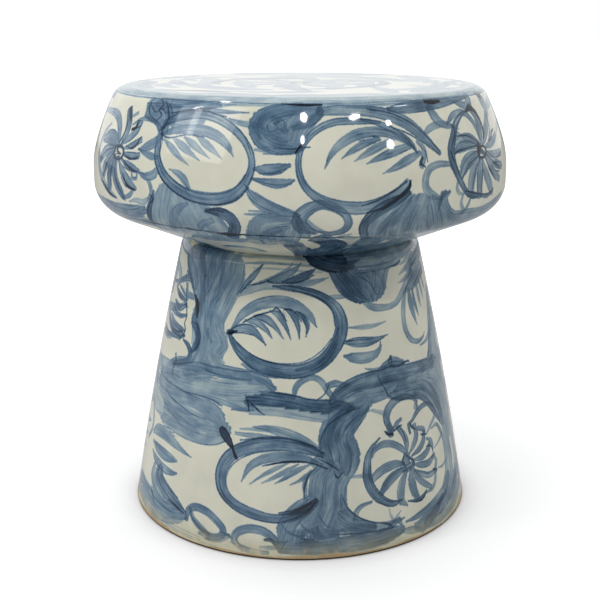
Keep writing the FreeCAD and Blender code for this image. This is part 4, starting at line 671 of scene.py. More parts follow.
CAP_SWIRL = brushed(
    (0.56, 0.12, 3.4, 212, 7, -1, 212, 8, -6, 208.6, 9, -9.4, 200, 11, -8.8, 189, 12,
     -5.4, 182, 10.6, -1.6, 180.6, 8),
    (0.54, 0.12, 3.4, 209, 8, 0.8, 202, 11, -0.8, 194, 12, -1.4, 187, 11, -1.8, 181, 8),
    (0.34, 0.1, 4, 213, 2, -2, 213.6, 4, -8, 208, 4.4, -11, 198, 3.4, -10, 187, 2),
    (0.34, 0.1, 1, 208, 2, -4, 208, 3.4, -9, 203, 3.4, -10.4, 196, 3, -8, 190.6, 3, -5, 193, 2.6,
     -5.6, 199, 2),
    (0.5, 0.1, 5.2, 214, 2, 4.6, 207, 4.4, 2, 200, 4.6, -1, 196, 3),
    (0.55, 0, -6.4, 203, 3, -5, 199, 4.6, -4, 194, 3),
    (0.35, 0.05, -10.6, 175.6, 1.4, -7, 175.6, 3.6, -2.6, 174.6, 3.6, 0, 176, 1.4),
    (0.9, 0, -6, 177, 0.4, -3, 176.4, 0.7, 0, 177.6, 0.6, 2, 178, 0.4),
    (1.46, 0, -0.9, 174, 0.6, -0.3, 177.4, 0.9, 0.6, 181.6, 0.5),
    (0.6, 0, -8.6, 172, 0.4, -5, 171.6, 0.6, -1, 172.6, 0.4),
    (2.1, 0, -4.4, 217.6, 0.6, -1, 216.8, 1.1, 2, 216.4, 1.2, 5.4, 216.8, 0.7),
    (0.5, 0.45, -10.4, 158.6, 1.8, -8, 158, 4.8, -5.2, 159, 4.6, -3, 161.4, 2),
    (0.5, 0.4, -11, 149.8, 1.2, -8.4, 147.6, 3, -5.6, 146.2, 4.4, -3.4, 147, 3.4, -1.8, 148.8, 1.2),
    (0.672, 0, -9.4, 155.2, 0.4, -6.6, 155.2, 0.7, -3.6, 158.4, 0.5),
    (0.42, 0.35, -12.6, 142.6, 1, -11, 134, 4, -8, 126.6, 5.6, -4.4, 122, 4.6, -0.6, 118.4, 2),
    (0.3, 0.1, -10, 137, 0.8, -6, 127.6, 1.8, -1, 120.8, 1.4),
    (0.56, 0.3, 3, 101.6, 3.4, 0.4, 107, 6.6, -0.2, 115, 6.6, 1.6, 123, 5.8, 4.6, 127.8, 4.4,
     7.8, 125.4, 4, 10.6, 118.6, 3.6, 11.6, 109.6, 3.8, 10.4, 101.6, 3.8, 7.6, 98.4, 3,
     4.6, 101.6, 1.4),
    (0.5, 0.1, -1, 118, 2, 0.4, 108, 4.6, 1.2, 98, 5),
    (0.36, 0.1, 1.6, 114, 1.6, 3, 107, 3, 5.4, 101.6, 2),
)

RIGHT_CAP_LOOP = brushed(
    (0.44, 0.95, 20.4, 199, 1.4, 15, 200.6, 3, 9.6, 200.6, 3.4, 5.4, 196, 3.2, 2.2, 187, 2.8,
     0.2, 176, 2.6, -0.4, 163, 2.6, 0.4, 149, 3, 2.6, 138, 3.6, 6.4, 129.6, 4.6, 11, 124.6, 5.6,
     15.6, 124, 5.6, 19.6, 127.6, 5.4, 23.6, 135, 4.6, 26.2, 142.4, 3.8),
    (1.2, 0.1, 16.4, 119.6, 0.7, 20.4, 123, 1.4, 24, 130.6, 1.7, 26.8, 139, 1.7, 27.2, 143.6, 1),
    (1.06, 0, 15, 126, 0.5, 19, 130.4, 0.9, 23, 137.6, 0.9, 26, 144, 0.7),
    (0.56, 0, -0.3, 172, 0.4, -0.3, 158, 0.6, 1.4, 145, 0.6, 4.6, 134.6, 0.5, 8.6, 128.6, 0.4),
    (0.56, 0, 0.8, 180, 0.4, 3.2, 190.4, 0.7, 7, 198, 0.8, 11.6, 201.4, 0.6, 16, 200, 0.4),
    (0.5, 0.45, 5.6, 210.4, 4, 10, 211.2, 5, 16, 210.4, 5.4, 22, 207, 5.8, 27.6, 199, 6.2,
     31.4, 188.6, 5.4, 34.4, 178, 3.6, 36.9, 168, 1.6),
    (0.84, 0, 18.4, 211, 0.5, 24.4, 206.6, 0.7, 29.6, 197.6, 0.7, 33.6, 184.6, 0.7, 37.2, 170, 0.5),
    (0.84, 0, 22.6, 195.4, 0.4, 27.6, 188.6, 0.7, 32.4, 178.4, 0.7, 36.6, 166.6, 0.5),
    (0.45, 0.6, 15, 203, 1, 20.6, 197.6, 2.6, 25, 189, 3.2, 28.4, 179.4, 3, 29.9, 171, 1),
    (0.896, 0, 24.6, 192, 0.4, 27.6, 183.6, 0.7, 29.8, 170.6, 0.5),
    (0.34, 0.1, 13, 213.6, 1.6, 19, 212.6, 1.6, 25, 208.6, 1),
    (0.42, 0.25, 6, 160.4, 0.5, 7.6, 172, 2.6, 10.6, 182, 4.2, 14.4, 188.6, 5, 18.6, 190.6, 4.8,
     22.6, 188.6, 4, 26.4, 182.6, 3, 29, 175, 1.6),
    (0.44, 0.2, 10.4, 168.6, 0.5, 12.6, 174, 2.6, 15.6, 179.6, 3.4, 19.4, 183.6, 2),
    (0.44, 0.2, 13.4, 165.6, 0.5, 15.8, 170.4, 2.6, 19, 176, 3.8, 23, 181.6, 2.4),
    (0.46, 0.25, 16.4, 162.8, 0.5, 19.4, 167, 2.8, 23.4, 171.6, 4.2, 27.4, 175.6, 3),
    (0.42, 0.2, 20.4, 153.6, 0.5, 23.6, 158, 3, 27, 163.6, 4.2, 30.4, 168.6, 2.4),
    (0.5, 0.3, 31, 179, 1.6, 32.2, 172.6, 2.4, 31.8, 165, 2.8, 31, 157.6, 1.8),
    (1.01, 0, 31.2, 163.4, 1.2, 30.6, 159.6, 1.4, 31.6, 157, 0.6),
    (0.672, 0, 30.6, 178, 0.4, 32.6, 170, 0.6, 32.8, 162, 0.4),
    (0.896, 0, 14.6, 188.6, 0.5, 15.4, 188.9, 0.6),
    (0.896, 0, 18.8, 186, 0.7, 19.4, 185.8, 0.5),
    (0.896, 0, 15.2, 183, 0.5, 15.8, 183.4, 0.5),
    (0.784, 0, 22, 170.2, 0.6, 22.6, 170.4, 0.5),
    (0.36, 0.25, 33.2, 184, 1.6, 35, 189.6, 3, 38, 193, 3.4, 42, 193, 2.8, 46, 188, 1),
)

RIGHT_CAP_FLOWER = brushed(
    (0.62, 0.5, 52.6, 203.6, 0.9, 48.8, 199.4, 2.4, 45.6, 192, 3.4, 43.4, 181, 4, 41.4, 169, 4.6,
     41.2, 157, 4.6, 42.6, 145, 3.6, 44.6, 134, 3, 46.8, 126, 2.8, 49.6, 122.6, 2.6,
     53.4, 122.4, 1),
    (0.952, 0, 41, 167, 0.5, 41.8, 158, 1, 42.6, 150, 1.1, 43.2, 143, 0.6),
    (1.06, 0, 46, 129, 0.5, 49, 126.6, 0.9, 53.4, 123, 0.5),
    (0.952, 0, 44, 191, 1, 44.6, 187, 1.4, 43.6, 180, 0.8),
    (0.42, 0.4, 42.6, 194, 1.6, 45.6, 200.6, 3, 49.6, 202.6, 3.2, 52.8, 197.6, 3.2, 54.8, 187.6, 3,
     55.2, 176, 1.8),
    (0.48, 0.45, 54.2, 170, 2.4, 50.6, 176.6, 4.8, 46.6, 178, 4.1, 43.6, 174.6, 1.9),
    (0.44, 0.45, 53.6, 167.6, 2.2, 49.6, 171, 4.6, 45.6, 170, 4.8, 43, 166.6, 1.9),
    (0.52, 0.4, 52.6, 162, 2.4, 48.8, 159, 6, 46, 153.6, 6.5, 44.4, 145, 2.6),
    (0.48, 0.3, 51.6, 156, 2.4, 49.4, 148, 5.3, 48.2, 138, 5.8, 48, 129, 4.8),
    (0.48, 0.25, 52.8, 154.6, 2.4, 52.2, 145, 5.3, 52, 135, 5.8, 52.2, 124.6, 4.8),
    (0.46, 0.3, 54.2, 153.6, 1.9, 55, 144, 4.6, 56.8, 134, 5.5, 58.6, 126, 5, 59.6, 121, 1.9),
    (0.46, 0.4, 56.4, 156, 1.7, 58.2, 147, 3.6, 61, 138.6, 4.3, 64.6, 132.6, 3.6),
    (0.46, 0.35, 57, 158.6, 1.7, 60, 151.6, 3.8, 63.6, 146.6, 4.6, 67, 144, 3.6),
    (0.46, 0.3, 57.2, 161, 1.7, 60.6, 157.6, 3.6, 64, 156.6, 3.8, 67.6, 157.6, 2.9),
    (0.44, 0.4, 57.2, 166, 1.7, 60.6, 167.4, 3.6, 64, 170, 3.6, 67.4, 174.6, 2.6),
    (0.46, 0.45, 56.6, 170, 1.7, 59.4, 178, 4.1, 62, 186.6, 4.3, 64.6, 196, 3.1),
    (0.5, 0.5, 55.6, 173, 1.9, 56.6, 184, 4.8, 57, 195, 5.3, 55.4, 205, 4.1),
    (1.9, 0, 53.4, 169.6, 1.4, 52.6, 163.6, 1.5, 52.8, 158, 1.4, 55, 157, 1.3, 57, 160.6, 1.3,
     56.6, 166.6, 1.1, 54.4, 167.4, 1, 53.6, 163, 0.9),
    (1.33, 0, 52.6, 203.6, 1.2, 55, 206.6, 2.4, 57.4, 201, 2.4, 58.8, 191, 1.6, 58.6, 180, 1.6,
     57.8, 176, 0.8),
    (0.896, 0, 60.6, 171.4, 0.5, 62.6, 177.6, 1, 64.4, 187, 1, 65, 195, 0.5),
    (0.896, 0, 60.6, 151, 0.4, 62.6, 148.6, 0.7, 65.6, 147.6, 0.4),
    (0.896, 0, 60, 146, 0.4, 62, 141, 0.7, 65, 139, 0.5),
    (0.6, 0.2, 53, 120.6, 1, 56.4, 119, 1.8, 59.6, 121.6, 1.2),
    (0.34, 0.35, 47.6, 178, 1.2, 45, 184, 1.6, 43.4, 178, 1.2),
    (0.36, 0.3, 39.6, 156.6, 2.6, 36, 157.4, 3.2, 33, 153.6, 3.6, 31.7, 145, 3.8, 32, 136, 4,
     34, 129.6, 4, 36.4, 126.4, 2),
    (0.34, 0.2, 42.6, 141, 1, 42.2, 134, 1.8, 43, 128.6, 1.8, 44.6, 127, 1),
    (0.36, 0.2, 44.6, 125.6, 1.4, 44, 119, 2, 45, 113, 2),
    (0.36, 0.2, 47.6, 119.6, 1.4, 46.8, 114, 2.2, 45.6, 109, 2),
    (0.5, 0.2, 39.2, 130.6, 1.8, 37.6, 127, 5, 37.8, 119, 6, 39.4, 111, 6.4, 42.4, 105.6, 6.4,
     47.6, 104.6, 7, 54, 103.6, 6.4, 61, 107, 6, 68, 112, 5),
    (0.45, 0.1, 36.2, 117, 1, 36.4, 123, 2, 37.4, 128, 2, 39, 130.4, 1),
    (0.6, 0.12, 24.6, 210, 3, 29, 211.4, 5.6, 35, 212.4, 5.8, 42, 213.6, 4.8, 49, 215.6, 3.4,
     57, 218, 2),
    (0.5, 0, -88, 218.4, 0.7, -60, 218, 0.9, -30, 218.4, 1, -8, 217.8, 0.8, 10, 218, 1.3,
     30, 218.4, 1, 58, 218, 1.1, 90, 218.4, 0.8),
    (0.3, 0.1, -20, 215.6, 0.8, -10, 216, 1.4, 8, 216, 1.2, 24, 215.6, 1.6, 36, 216, 1),
    # A faint blue ring round the top's edge: partly brushwork, partly a painted reflection for the
    # milky sheen there
    (0.27, 0, -180, 230, 11.4, -135, 231, 10.6, -90, 230, 11.4, -45, 231, 11, 0, 230, 11.8,
     45, 231, 11, 90, 230, 11.4, 135, 231, 10.6, 180, 230, 11.4),
    (0.45, 0.3, 37.4, 208.6, 4, 38.2, 201.6, 5, 39.6, 195.6, 4.4, 42, 191.6, 3, 44.6, 190, 1.4),
    (2.6, 0, 37, 216, 1.8, 39, 215.4, 2.4, 41.4, 215.8, 1.6),
    (0.45, 0.2, 47, 215, 1, 51, 210, 4, 54.6, 207, 5, 56, 214, 5, 57.4, 221, 3),
    (0.4, 0.1, 66, 222, 5, 66, 211, 8, 66.6, 201, 5, 64.6, 193, 3),
    (1.05, 0, 64, 218, 1.6, 65.6, 214, 2.4, 67.4, 217.6, 1.2),
    (0.3, 0.1, 70, 204, 4, 76, 208, 5, 82, 214, 6),
    (0.3, 0.1, 69, 176, 1, 73, 182, 2.4, 80, 186, 3),
)

RIGHT_PETAL_EDGES = brushed(
    (0.8, 0, 53.2, 166.6, 1.6, 54.2, 163.6, 3, 56, 160, 2),
    (1.4, 0, 53.2, 169, 0.7, 48.6, 168.6, 0.9, 43.6, 166.6, 0.6),
    (1.2, 0, 52.2, 159, 0.6, 47.6, 153, 0.8, 44.2, 142, 0.5),
    (1, 0, 52.8, 156, 0.5, 50.2, 147, 0.7, 48.6, 132, 0.5),
    (1, 0, 54, 155, 0.5, 53.4, 141, 0.7, 53, 126.6, 0.5),
    (1.1, 0, 56, 154.6, 0.5, 58, 143, 0.9, 61.6, 133, 0.7),
    (1.1, 0, 57.2, 158, 0.5, 61, 149, 0.9, 66.2, 141, 0.6),
    (1, 0, 57.4, 161.6, 0.5, 62, 154, 0.8, 67.4, 153.6, 0.5),
    (1.6, 0, 58, 176, 0.7, 58.9, 186, 1.3, 58.2, 197, 1.4),
    (1.9, 0, 53, 203.4, 1.4, 55, 205.4, 2.6, 57.2, 201.6, 2),
    (1.3, 0, 60.4, 171, 0.8, 62.6, 173, 1, 64.4, 178, 1.2, 66.4, 180, 0.8),
    (1.1, 0, 53.6, 172, 0.5, 49.6, 179.6, 0.8, 44.6, 181, 0.6),
    (1.2, 0, 47.6, 127.4, 0.5, 51, 124.4, 0.8, 56.6, 121.2, 0.7, 60, 124, 0.5),
)

CAP_CLOUDS = brushed(
    (0.75, 0.15, -41.4, 96, 1.6, -41.2, 105, 3, -40.2, 116, 3.2, -38.8, 126, 2.4, -38.4, 131, 1),
    (0.37, 0.12, -36.6, 80, 16, -36.6, 100, 16, -35.6, 115, 15, -34.4, 130, 10),
    (0.34, 0.12, -27, 80, 17, -27.4, 100, 17, -28, 112, 17, -30, 124, 13, -31, 131, 7),
    (0.38, 0.12, -20, 80, 15, -20.6, 96, 14, -22, 108, 12, -24, 118, 8),
    (0.36, 0.1, -34, 96, 2, -33, 108, 5, -31, 118, 4.4, -28.4, 124, 2),
    (0.36, 0.1, -26, 98, 2, -24.4, 106, 4.4, -22, 110, 3),
    (1.2, 0, -39.6, 128, 0.6, -38.6, 125, 1, -39.6, 121, 0.8, -41, 112, 1, -41, 104, 1.2),
    (0.8, 0.4, -22.4, 119.6, 2, -19, 118.6, 4.6, -16.6, 113.6, 5.4, -15.8, 106, 5.4,
     -16.6, 98, 5.4, -17.4, 90, 5.4),
    (1.6, 0, -20.6, 94.6, 1.4, -18, 94, 3.4, -15.6, 94.6, 1.4),
    (1.1, 0, -22.6, 119.6, 0.5, -20.6, 121, 0.8, -18.6, 119.6, 0.6),
    (0.46, 0.15, -9.4, 78, 17, -9, 96, 16, -8, 106, 13, -4, 109, 9),
    (0.36, 0.1, -9.6, 90, 3, -8, 98, 5, -5.6, 103, 4),
    (0.34, 0.1, -12.6, 118.6, 0.8, -9, 118.6, 2, -5.4, 116, 3, -2, 112, 2),
    (0.3, 0.1, -11.6, 121.8, 0.6, -8, 121.6, 1.1, -5, 120, 0.8),
    (0.5, 0.12, -3.6, 78, 10, -2.6, 94, 10, -1.6, 106, 8, -1, 114, 4),
    (0.8, 0.3, 17.4, 86, 3.4, 15.9, 98, 4, 15.6, 108, 4.6, 17.4, 117, 5.2, 20.6, 124, 5.4,
     24, 129, 4.6, 26.6, 134, 2),
    (0.48, 0.12, 23, 78, 17, 21, 96, 16, 21.4, 110, 14, 24.4, 123, 9, 26.4, 132, 4),
    (0.44, 0.12, 32, 78, 18, 29.4, 96, 17, 29, 110, 14, 30.4, 123, 9),
    (0.44, 0.12, 40, 82, 14, 37.4, 98, 14, 35, 113, 11, 34, 124, 5.6),
    (0.36, 0.1, 20, 92, 2, 21, 106, 5, 24.4, 118, 4.4, 28, 130, 2),
    (0.32, 0.1, 28, 90, 2, 27.4, 106, 5, 29.4, 120, 3),
    (0.32, 0.1, 36, 92, 2, 34, 106, 5, 33, 118, 3),
    (0.4, 0.15, 37, 92, 7, 44, 93, 7, 52, 94, 7, 62, 97, 7, 72, 102, 6),
    (0.84, 0, 16.8, 88, 0.6, 15, 98, 1, 14.7, 108, 0.8, 17, 117.6, 0.6),
    (0.5, 0.1, -76, 107, 5, -66, 107, 7, -56, 106.6, 7, -47.6, 108, 7.6, -42.6, 112.6, 4),
    (0.4, 0.1, -74, 96, 5, -62, 98, 6, -50, 98, 6, -42, 98, 5),
    (0.3, 0.05, -47.6, 118.6, 1, -45, 121, 2.4, -42.4, 120, 3, -40.6, 124, 2),
    (0.34, 0.05, 12.4, 96, 1, 11, 92, 4, 13.6, 88, 4),
    (1.3, 0, -50, 99, 0.3, -45.4, 98.8, 0.6, -43.8, 98.6, 1.1, -42, 98.2, 0.5, -40.6, 98.4, 1.3,
     -37, 98, 0.5, -33.6, 97.2, 1.1, -31, 97.6, 0.5, -29.4, 97.8, 1.4, -27, 96.8, 1,
     -25.2, 97, 0.5, -23.4, 96, 1.5, -21.4, 96.2, 0.7),
    (1.3, 0, -15, 95.4, 0.6, -13.6, 95, 1.4, -12, 95.2, 0.5, -10, 94.6, 1.4, -8.2, 94.8, 0.4,
     -5, 94, 1.2, -2, 93.6, 0.4, 2.4, 91.6, 1.4, 4.4, 92, 0.5, 6, 91.8, 1.2, 8, 92, 0.4,
     10.2, 91.4, 1.8, 11.4, 91.4, 0.8),
    # A dark line along the seat's lower rim: partly pooled blue, partly painted shade where the
    # surface turns under
    (1.1, 0, 11, 92, 0.6, 20, 88, 1.2, 32, 85, 1.4, 46, 83, 1.5, 60, 86, 1.5, 76, 92, 1),
)

UNDER_CLOUDS = brushed(
    (0.7, 0.1, 0.6, 0, 6, 1, 20, 9, 0, 38, 11, -1.6, 54, 10, -2, 68, 9),
    (0.74, 0.1, 8, 0, 12, 9, 26, 14, 11, 50, 13, 9, 70, 12, 6, 84, 12),
    (0.7, 0.1, 18, 0, 12, 20, 26, 15, 22, 50, 15, 20, 70, 12, 19, 84, 10),
    (0.6, 0.1, 29, 0, 12, 32, 28, 15, 34, 52, 14, 32, 76, 12),
    (0.5, 0.1, 41, 0, 12, 44, 28, 15, 45, 54, 13, 44, 76, 12),
    (0.5, 0.1, -44, 0, 12, -43, 26, 14, -42, 50, 11, -38, 68, 8, -32, 78, 6),
    (0.44, 0.1, -55, 0, 12, -54, 30, 15, -53, 56, 13, -52, 78, 10),
    (0.5, 0.1, -34, 84, 6, -26, 80, 7, -19, 76, 7, -14, 80, 6, -10, 86, 5),
    (0.4, 0.1, -28, 34, 4, -22, 40, 6, -17, 36, 5, -15, 24, 4),
    (0.4, 0.1, 55, 0, 10, 58, 30, 13, 59, 56, 12, 60, 78, 9),
)

# The border of the flat top, where those heights run on inwards
TOP_BORDER = brushed(
    (0.45, 0.3, -40, 232, 2, -34, 244, 5, -26, 254, 7, -16, 252, 7, -10, 242, 5, -8, 232, 2),
    (0.36, 0.2, -34, 236, 2, -27, 242, 4, -19, 241, 4, -13, 235, 1),
    (0.5, 0.2, 2, 231, 3, 6, 242, 7, 14, 251, 9, 24, 249, 8, 30, 240, 5, 33, 232, 2),
    (0.4, 0.2, 42, 232, 3, 46, 243, 6, 54, 249, 8, 63, 244, 7, 68, 234, 3),
    (0.34, 0.2, -62, 232, 3, -58, 245, 6, -51, 250, 6, -46, 242, 4),
    (0.4, 0.3, 76, 232, 3, 80, 246, 6, 88, 253, 7, 97, 247, 6, 101, 234, 3),
)

# The middle of the top, in millimetres to the right and away from the front
MEDALLION = brushed(
    (0.42, 0.1, -70, 62, 6, -46, 62, 13, -14, 66, 13, 12, 68, 6),
    (0.4, 0.1, 44, 50, 6, 66, 34, 14, 84, 26, 8),
    (0.3, 0.1, 72, 10, 6, 66, -20, 10, 66, -50, 8),
    (0.34, 0.1, 74, -62, 5, 82, -90, 9, 86, -128, 7),
    (0.45, 0.1, -132, 36, 5, -128, 6, 9, -116, -30, 7),
    (0.6, 0.1, -134, -98, 5, -100, -104, 9, -72, -118, 8),
    (0.3, 0.1, -62, 30, 6, -58, -14, 11, -50, -60, 8),
    (0.34, 0.1, -4, -24, 4, -8, -60, 9, 4, -108, 8),
    (0.28, 0.1, 30, 10, 5, 36, -36, 9, 30, -84, 7),
    (0.26, 0.1, -100, 74, 8, -94, 24, 12, -98, -24, 8),
    (0.26, 0.1, 116, 104, 8, 128, 66, 14, 122, 22, 9),
    (0.4, 0.1, 146, 6, 6, 140, -40, 10, 122, -84, 10, 108, -116, 6),
    (0.26, 0.1, -24, 102, 8, 16, 110, 15, 60, 104, 10),
    (0.4, 0.1, -162, 14, 5, -160, -30, 9, -150, -66, 7),
    (0.3, 0.1, -92, -50, 5, -78, -78, 9, -62, -96, 6),
    (0.3, 0.1, -10, 20, 10, 20, 16, 12, 30, 40, 8),
    (0.55, 0.1, -34, -170, 8, 0, -160, 13, 30, -168, 9),
    (0.2, 0.1, -60, 130, 14, 0, 144, 18, 80, 128, 14),
    (0.4, 0.4, 4, 14, 2, 14, 34, 8, 10, 56, 9, -2, 68, 4),
    (0.4, 0.4, -6, 14, 2, -20, 30, 8, -36, 44, 9, -54, 46, 4),
    (0.42, 0.4, -12, 6, 2, -30, 8, 8, -50, 8, 9, -68, 0, 4),
    (0.4, 0.4, -12, -4, 2, -28, -16, 8, -44, -28, 9, -54, -44, 4),
    (0.42, 0.4, -6, -12, 2, -14, -30, 8, -18, -50, 9, -12, -66, 4),
    (0.4, 0.4, 4, -12, 2, 12, -30, 8, 22, -48, 9, 36, -58, 4),
    (0.42, 0.4, 12, -6, 2, 30, -14, 8, 48, -18, 9, 64, -14, 4),
    (0.4, 0.4, 13, 3, 2, 32, 8, 8, 50, 14, 9, 62, 28, 4),
    (0.4, 0.4, 9, 10, 2, 26, 26, 8, 40, 40, 9, 44, 56, 4),
    (1.4, 0, 10, 0, 2, 4, 10, 2.4, -6, 8, 2.4, -9, -2, 2.4, -2, -9, 2.2, 7, -5, 2, 4, 2, 1.6,
     -2, 1, 1.4),
    (0.5, 0.5, -84, -20, 3, -88, 10, 6, -74, 44, 7, -46, 70, 7, -12, 84, 6, 14, 84, 3),
    (0.5, 0.5, 84, 26, 3, 88, -6, 6, 74, -42, 7, 46, -70, 7, 12, -84, 6, -16, -82, 3),
    (0.4, 0.15, 30, 92, 8, 62, 82, 14, 92, 58, 14, 108, 28, 8),
    (0.4, 0.15, -34, -92, 8, -66, -80, 14, -94, -54, 14, -108, -22, 8),
    (0.36, 0.3, -112, 30, 3, -122, 56, 8, -104, 84, 9, -76, 96, 4),
    (0.36, 0.3, 112, -34, 3, 124, -58, 8, 106, -86, 9, 78, -98, 4),
    (0.36, 0.2, -20, 112, 3, 0, 122, 8, 30, 124, 9, 56, 114, 4),
    (0.36, 0.2, 20, -112, 3, 0, -122, 8, -30, -124, 9, -56, -114, 4),
    (0.34, 0.2, 132, 0, 5, 140, 30, 8, 124, 62, 7),
    (0.34, 0.2, -132, 0, 5, -140, -30, 8, -124, -62, 7),
)

# The pedestal's sides
SIDE_CLOUDS = brushed(
    (0.5, 0.15, 84, 292, 12, 88, 262, 14, 93, 236, 13, 91, 208, 9, 86, 190, 4),
    (0.4, 0.15, 94, 290, 12, 99, 262, 12, 100, 240, 7),
    (0.55, 0.2, 72, 166, 6, 82, 164, 9, 92, 156, 10, 101, 144, 8, 106, 128, 4),
    (0.4, 0.15, 80, 132, 6, 88, 122, 9, 97, 118, 9, 106, 122, 5),
    (0.45, 0.25, 84, 96, 2, 90, 92, 5, 97, 90, 5, 104, 93, 1),
    (0.45, 0.25, 83, 80, 2, 89, 76, 5, 96, 74, 5, 102, 77, 1),
    (0.42, 0.25, 84, 64, 2, 90, 60, 4.4, 96, 59, 4.4, 101, 62, 1),
    (0.5, 0.15, 78, 34, 6, 86, 24, 9, 95, 20, 9, 104, 26, 5),
    (0.5, 0.15, 86, 12, 5, 96, 11, 6, 106, 14, 5),
)

# The seat's sides
CAP_SIDE_LOOP = brushed(
    (0.56, 0.55, 104, 196, 2, 99, 204, 3.6, 92, 205, 4, 84, 199, 4, 79, 186, 3.6, 76.6, 168, 3.6,
     78, 150, 4, 83, 137, 5, 90, 132, 5.4, 98, 136, 5, 103, 148, 4, 105, 160, 2.4),
    (0.42, 0.3, 103, 170, 1, 100, 184, 4, 94, 192, 5, 87, 190, 5, 82, 180, 3, 80.6, 168, 0.6),
    (0.36, 0.2, 98, 186, 1, 94.4, 176, 3.4, 91, 165, 0.6),
    (0.36, 0.2, 94, 188, 1, 90, 178, 3.4, 86.6, 168, 0.6),
    (0.896, 0, 80, 145, 0.5, 85, 132, 0.9, 92, 127, 1, 99, 131, 0.8, 104, 142, 0.5),
    (0.5, 0.2, 74, 100, 6, 82, 108, 9, 91, 109, 9, 100, 104, 7),
    (0.42, 0.2, 78, 92, 7, 88, 94, 9, 99, 94, 8),
    (0.5, 0.2, 106, 214, 4, 98, 216, 5, 88, 216, 5, 80, 213, 4),
    (0.6, 0.1, 70, 0, 12, 72, 30, 14, 73, 56, 12, 74, 78, 9),
    (0.6, 0.1, 90, 0, 12, 90, 28, 14, 91, 54, 14, 92, 78, 10),
)


PEDESTAL_FRONT = (
    VINE + RIGHT_LOOP + LEFT_FLOWER + UPPER_LEAF + LOWER_LEAF + RIGHT_FLOWER
    + THREE_DASHES + LEFT_DASHES + SMALL_RINGS
)
SEAT_FRONT = (
    UNDER_CLOUDS + CAP_CLOUDS + CAP_SWIRL + LEFT_CAP_LOOP + RIGHT_CAP_LOOP
    + LEFT_CAP_FLOWER + LEFT_PETAL_EDGES + RIGHT_CAP_FLOWER + RIGHT_PETAL_EDGES + TOP_BORDER
)
PEDESTAL_STROKES = (
    PEDESTAL_FRONT + turned(PEDESTAL_FRONT, 182, 1.02)
    + SIDE_CLOUDS + turned(SIDE_CLOUDS, 181)
)
SEAT_STROKES = (
    SEAT_FRONT + turned(SEAT_FRONT, 179, 1.03) + CAP_SIDE_LOOP + turned(CAP_SIDE_LOOP, 180)
)


class Canvas:
    """The painted skin of a piece: where every vertex lies, and the layers of colour on it.

    around is in degrees, up in millimetres and girth in millimetres to a degree. A flat canvas
    has around in millimetres and a girth of 1.
    """

    def __init__(self, around, up, girth, closed=True):
        self.around = around
        self.up = up
        self.girth = girth
        self.closed = closed
        self.route = np.zeros((LAYERS, len(around), 3), np.float32)
        self.wash = np.zeros((LAYERS, len(around), 3), np.float32)
        self.wash[:, :, 0] = UNPAINTED

    def paint(self, strokes):
        """Lays broad washes on the first layer, and the rest where they cover least."""
        for number, stroke in enumerate(strokes):
            points = smooth_route(np.array(stroke.route, float), self.girth.mean())
            near = self.reached(points)
            if not len(near):
                continue
            across, along, half, edge = self.measure(points, near)
            wet = edge > -WET
            if not wet.any():
                continue
            near, across, along = near[wet], across[wet], along[wet]
            half, edge = half[wet], edge[wet]
            broad = points[:, 2].max() > (BROAD_SOFT if stroke.edge < RIMMED else BROAD_RIMMED)
            layer = 0 if broad else self.freest(near[edge > OVERLAP])
            wins = edge > self.wash[layer, near, 0]
            chosen = near[wins]
            places = (across[wins], along[wins] + STROKE_GAP * number, half[wins])
            self.route[layer, chosen] = np.column_stack(places)
            self.wash[layer, chosen, 0] = edge[wins]
            self.wash[layer, chosen, 1:] = stroke.wash, stroke.edge

    def freest(self, near):
        """The layer, after the first one for broad washes, with the least paint there."""
        cover = [float((self.wash[k, near, 0] > COVERED).sum()) for k in range(1, LAYERS)]
        return 1 + int(np.argmin(cover))

    def offset(self, degrees):
        """How far each vertex lies from an angle, the short way round."""
        gap = self.around - degrees
        return (gap + 180) % 360 - 180 if self.closed else gap

    def reached(self, points):
        """The vertices that lie near enough for the stroke to matter."""
        reach = points[:, 2].max() + WET
        middle = (points[:, 0].max() + points[:, 0].min()) / 2
        spread = (points[:, 0].max() - points[:, 0].min()) / 2
        in_reach = (self.up > points[:, 1].min() - reach) & (self.up < points[:, 1].max() + reach)
        in_reach &= np.abs(self.offset(middle)) * self.girth < spread * self.girth + reach
        return np.nonzero(in_reach)[0]

    def measure(self, points, near):
        """Signed distance across the stroke, distance along it, half its width and depth inside."""
        girth = self.girth[near][:, None]
        middle = (points[:, 0].max() + points[:, 0].min()) / 2
        here = self.offset(middle)[near][:, None]
        x = (points[None, :, 0] - middle - here) * girth
        y = points[None, :, 1] - self.up[near][:, None]
        dx, dy = np.diff(x, axis=1), np.diff(y, axis=1)
        length = np.maximum(dx * dx + dy * dy, 1e-9)
        part = -(x[:, :-1] * dx + y[:, :-1] * dy) / length
        inside = np.clip(part, 0, 1)
        gap = np.hypot(x[:, :-1] + inside * dx, y[:, :-1] + inside * dy)
        half = points[None, :-1, 2] + inside * np.diff(points[:, 2])[None, :]
        best = np.argmax(half - gap, axis=1)
        row = np.arange(len(near))
        side = (x[:, :-1] * dy - y[:, :-1] * dx)[row, best] / np.sqrt(length[row, best])
        walked = np.concatenate([[0], np.cumsum(np.hypot(
            np.diff(points[:, 0]) * self.girth.mean(), np.diff(points[:, 1])
        ))])
        along = walked[best] + inside[row, best] * np.sqrt(length[row, best])
        beyond = (part[row, best] < 0) | (part[row, best] > 1)
        near_gap = gap[row, best]
        across = np.where(beyond, side, np.sign(side) * near_gap)
        return across, along, half[row, best], half[row, best] - near_gap


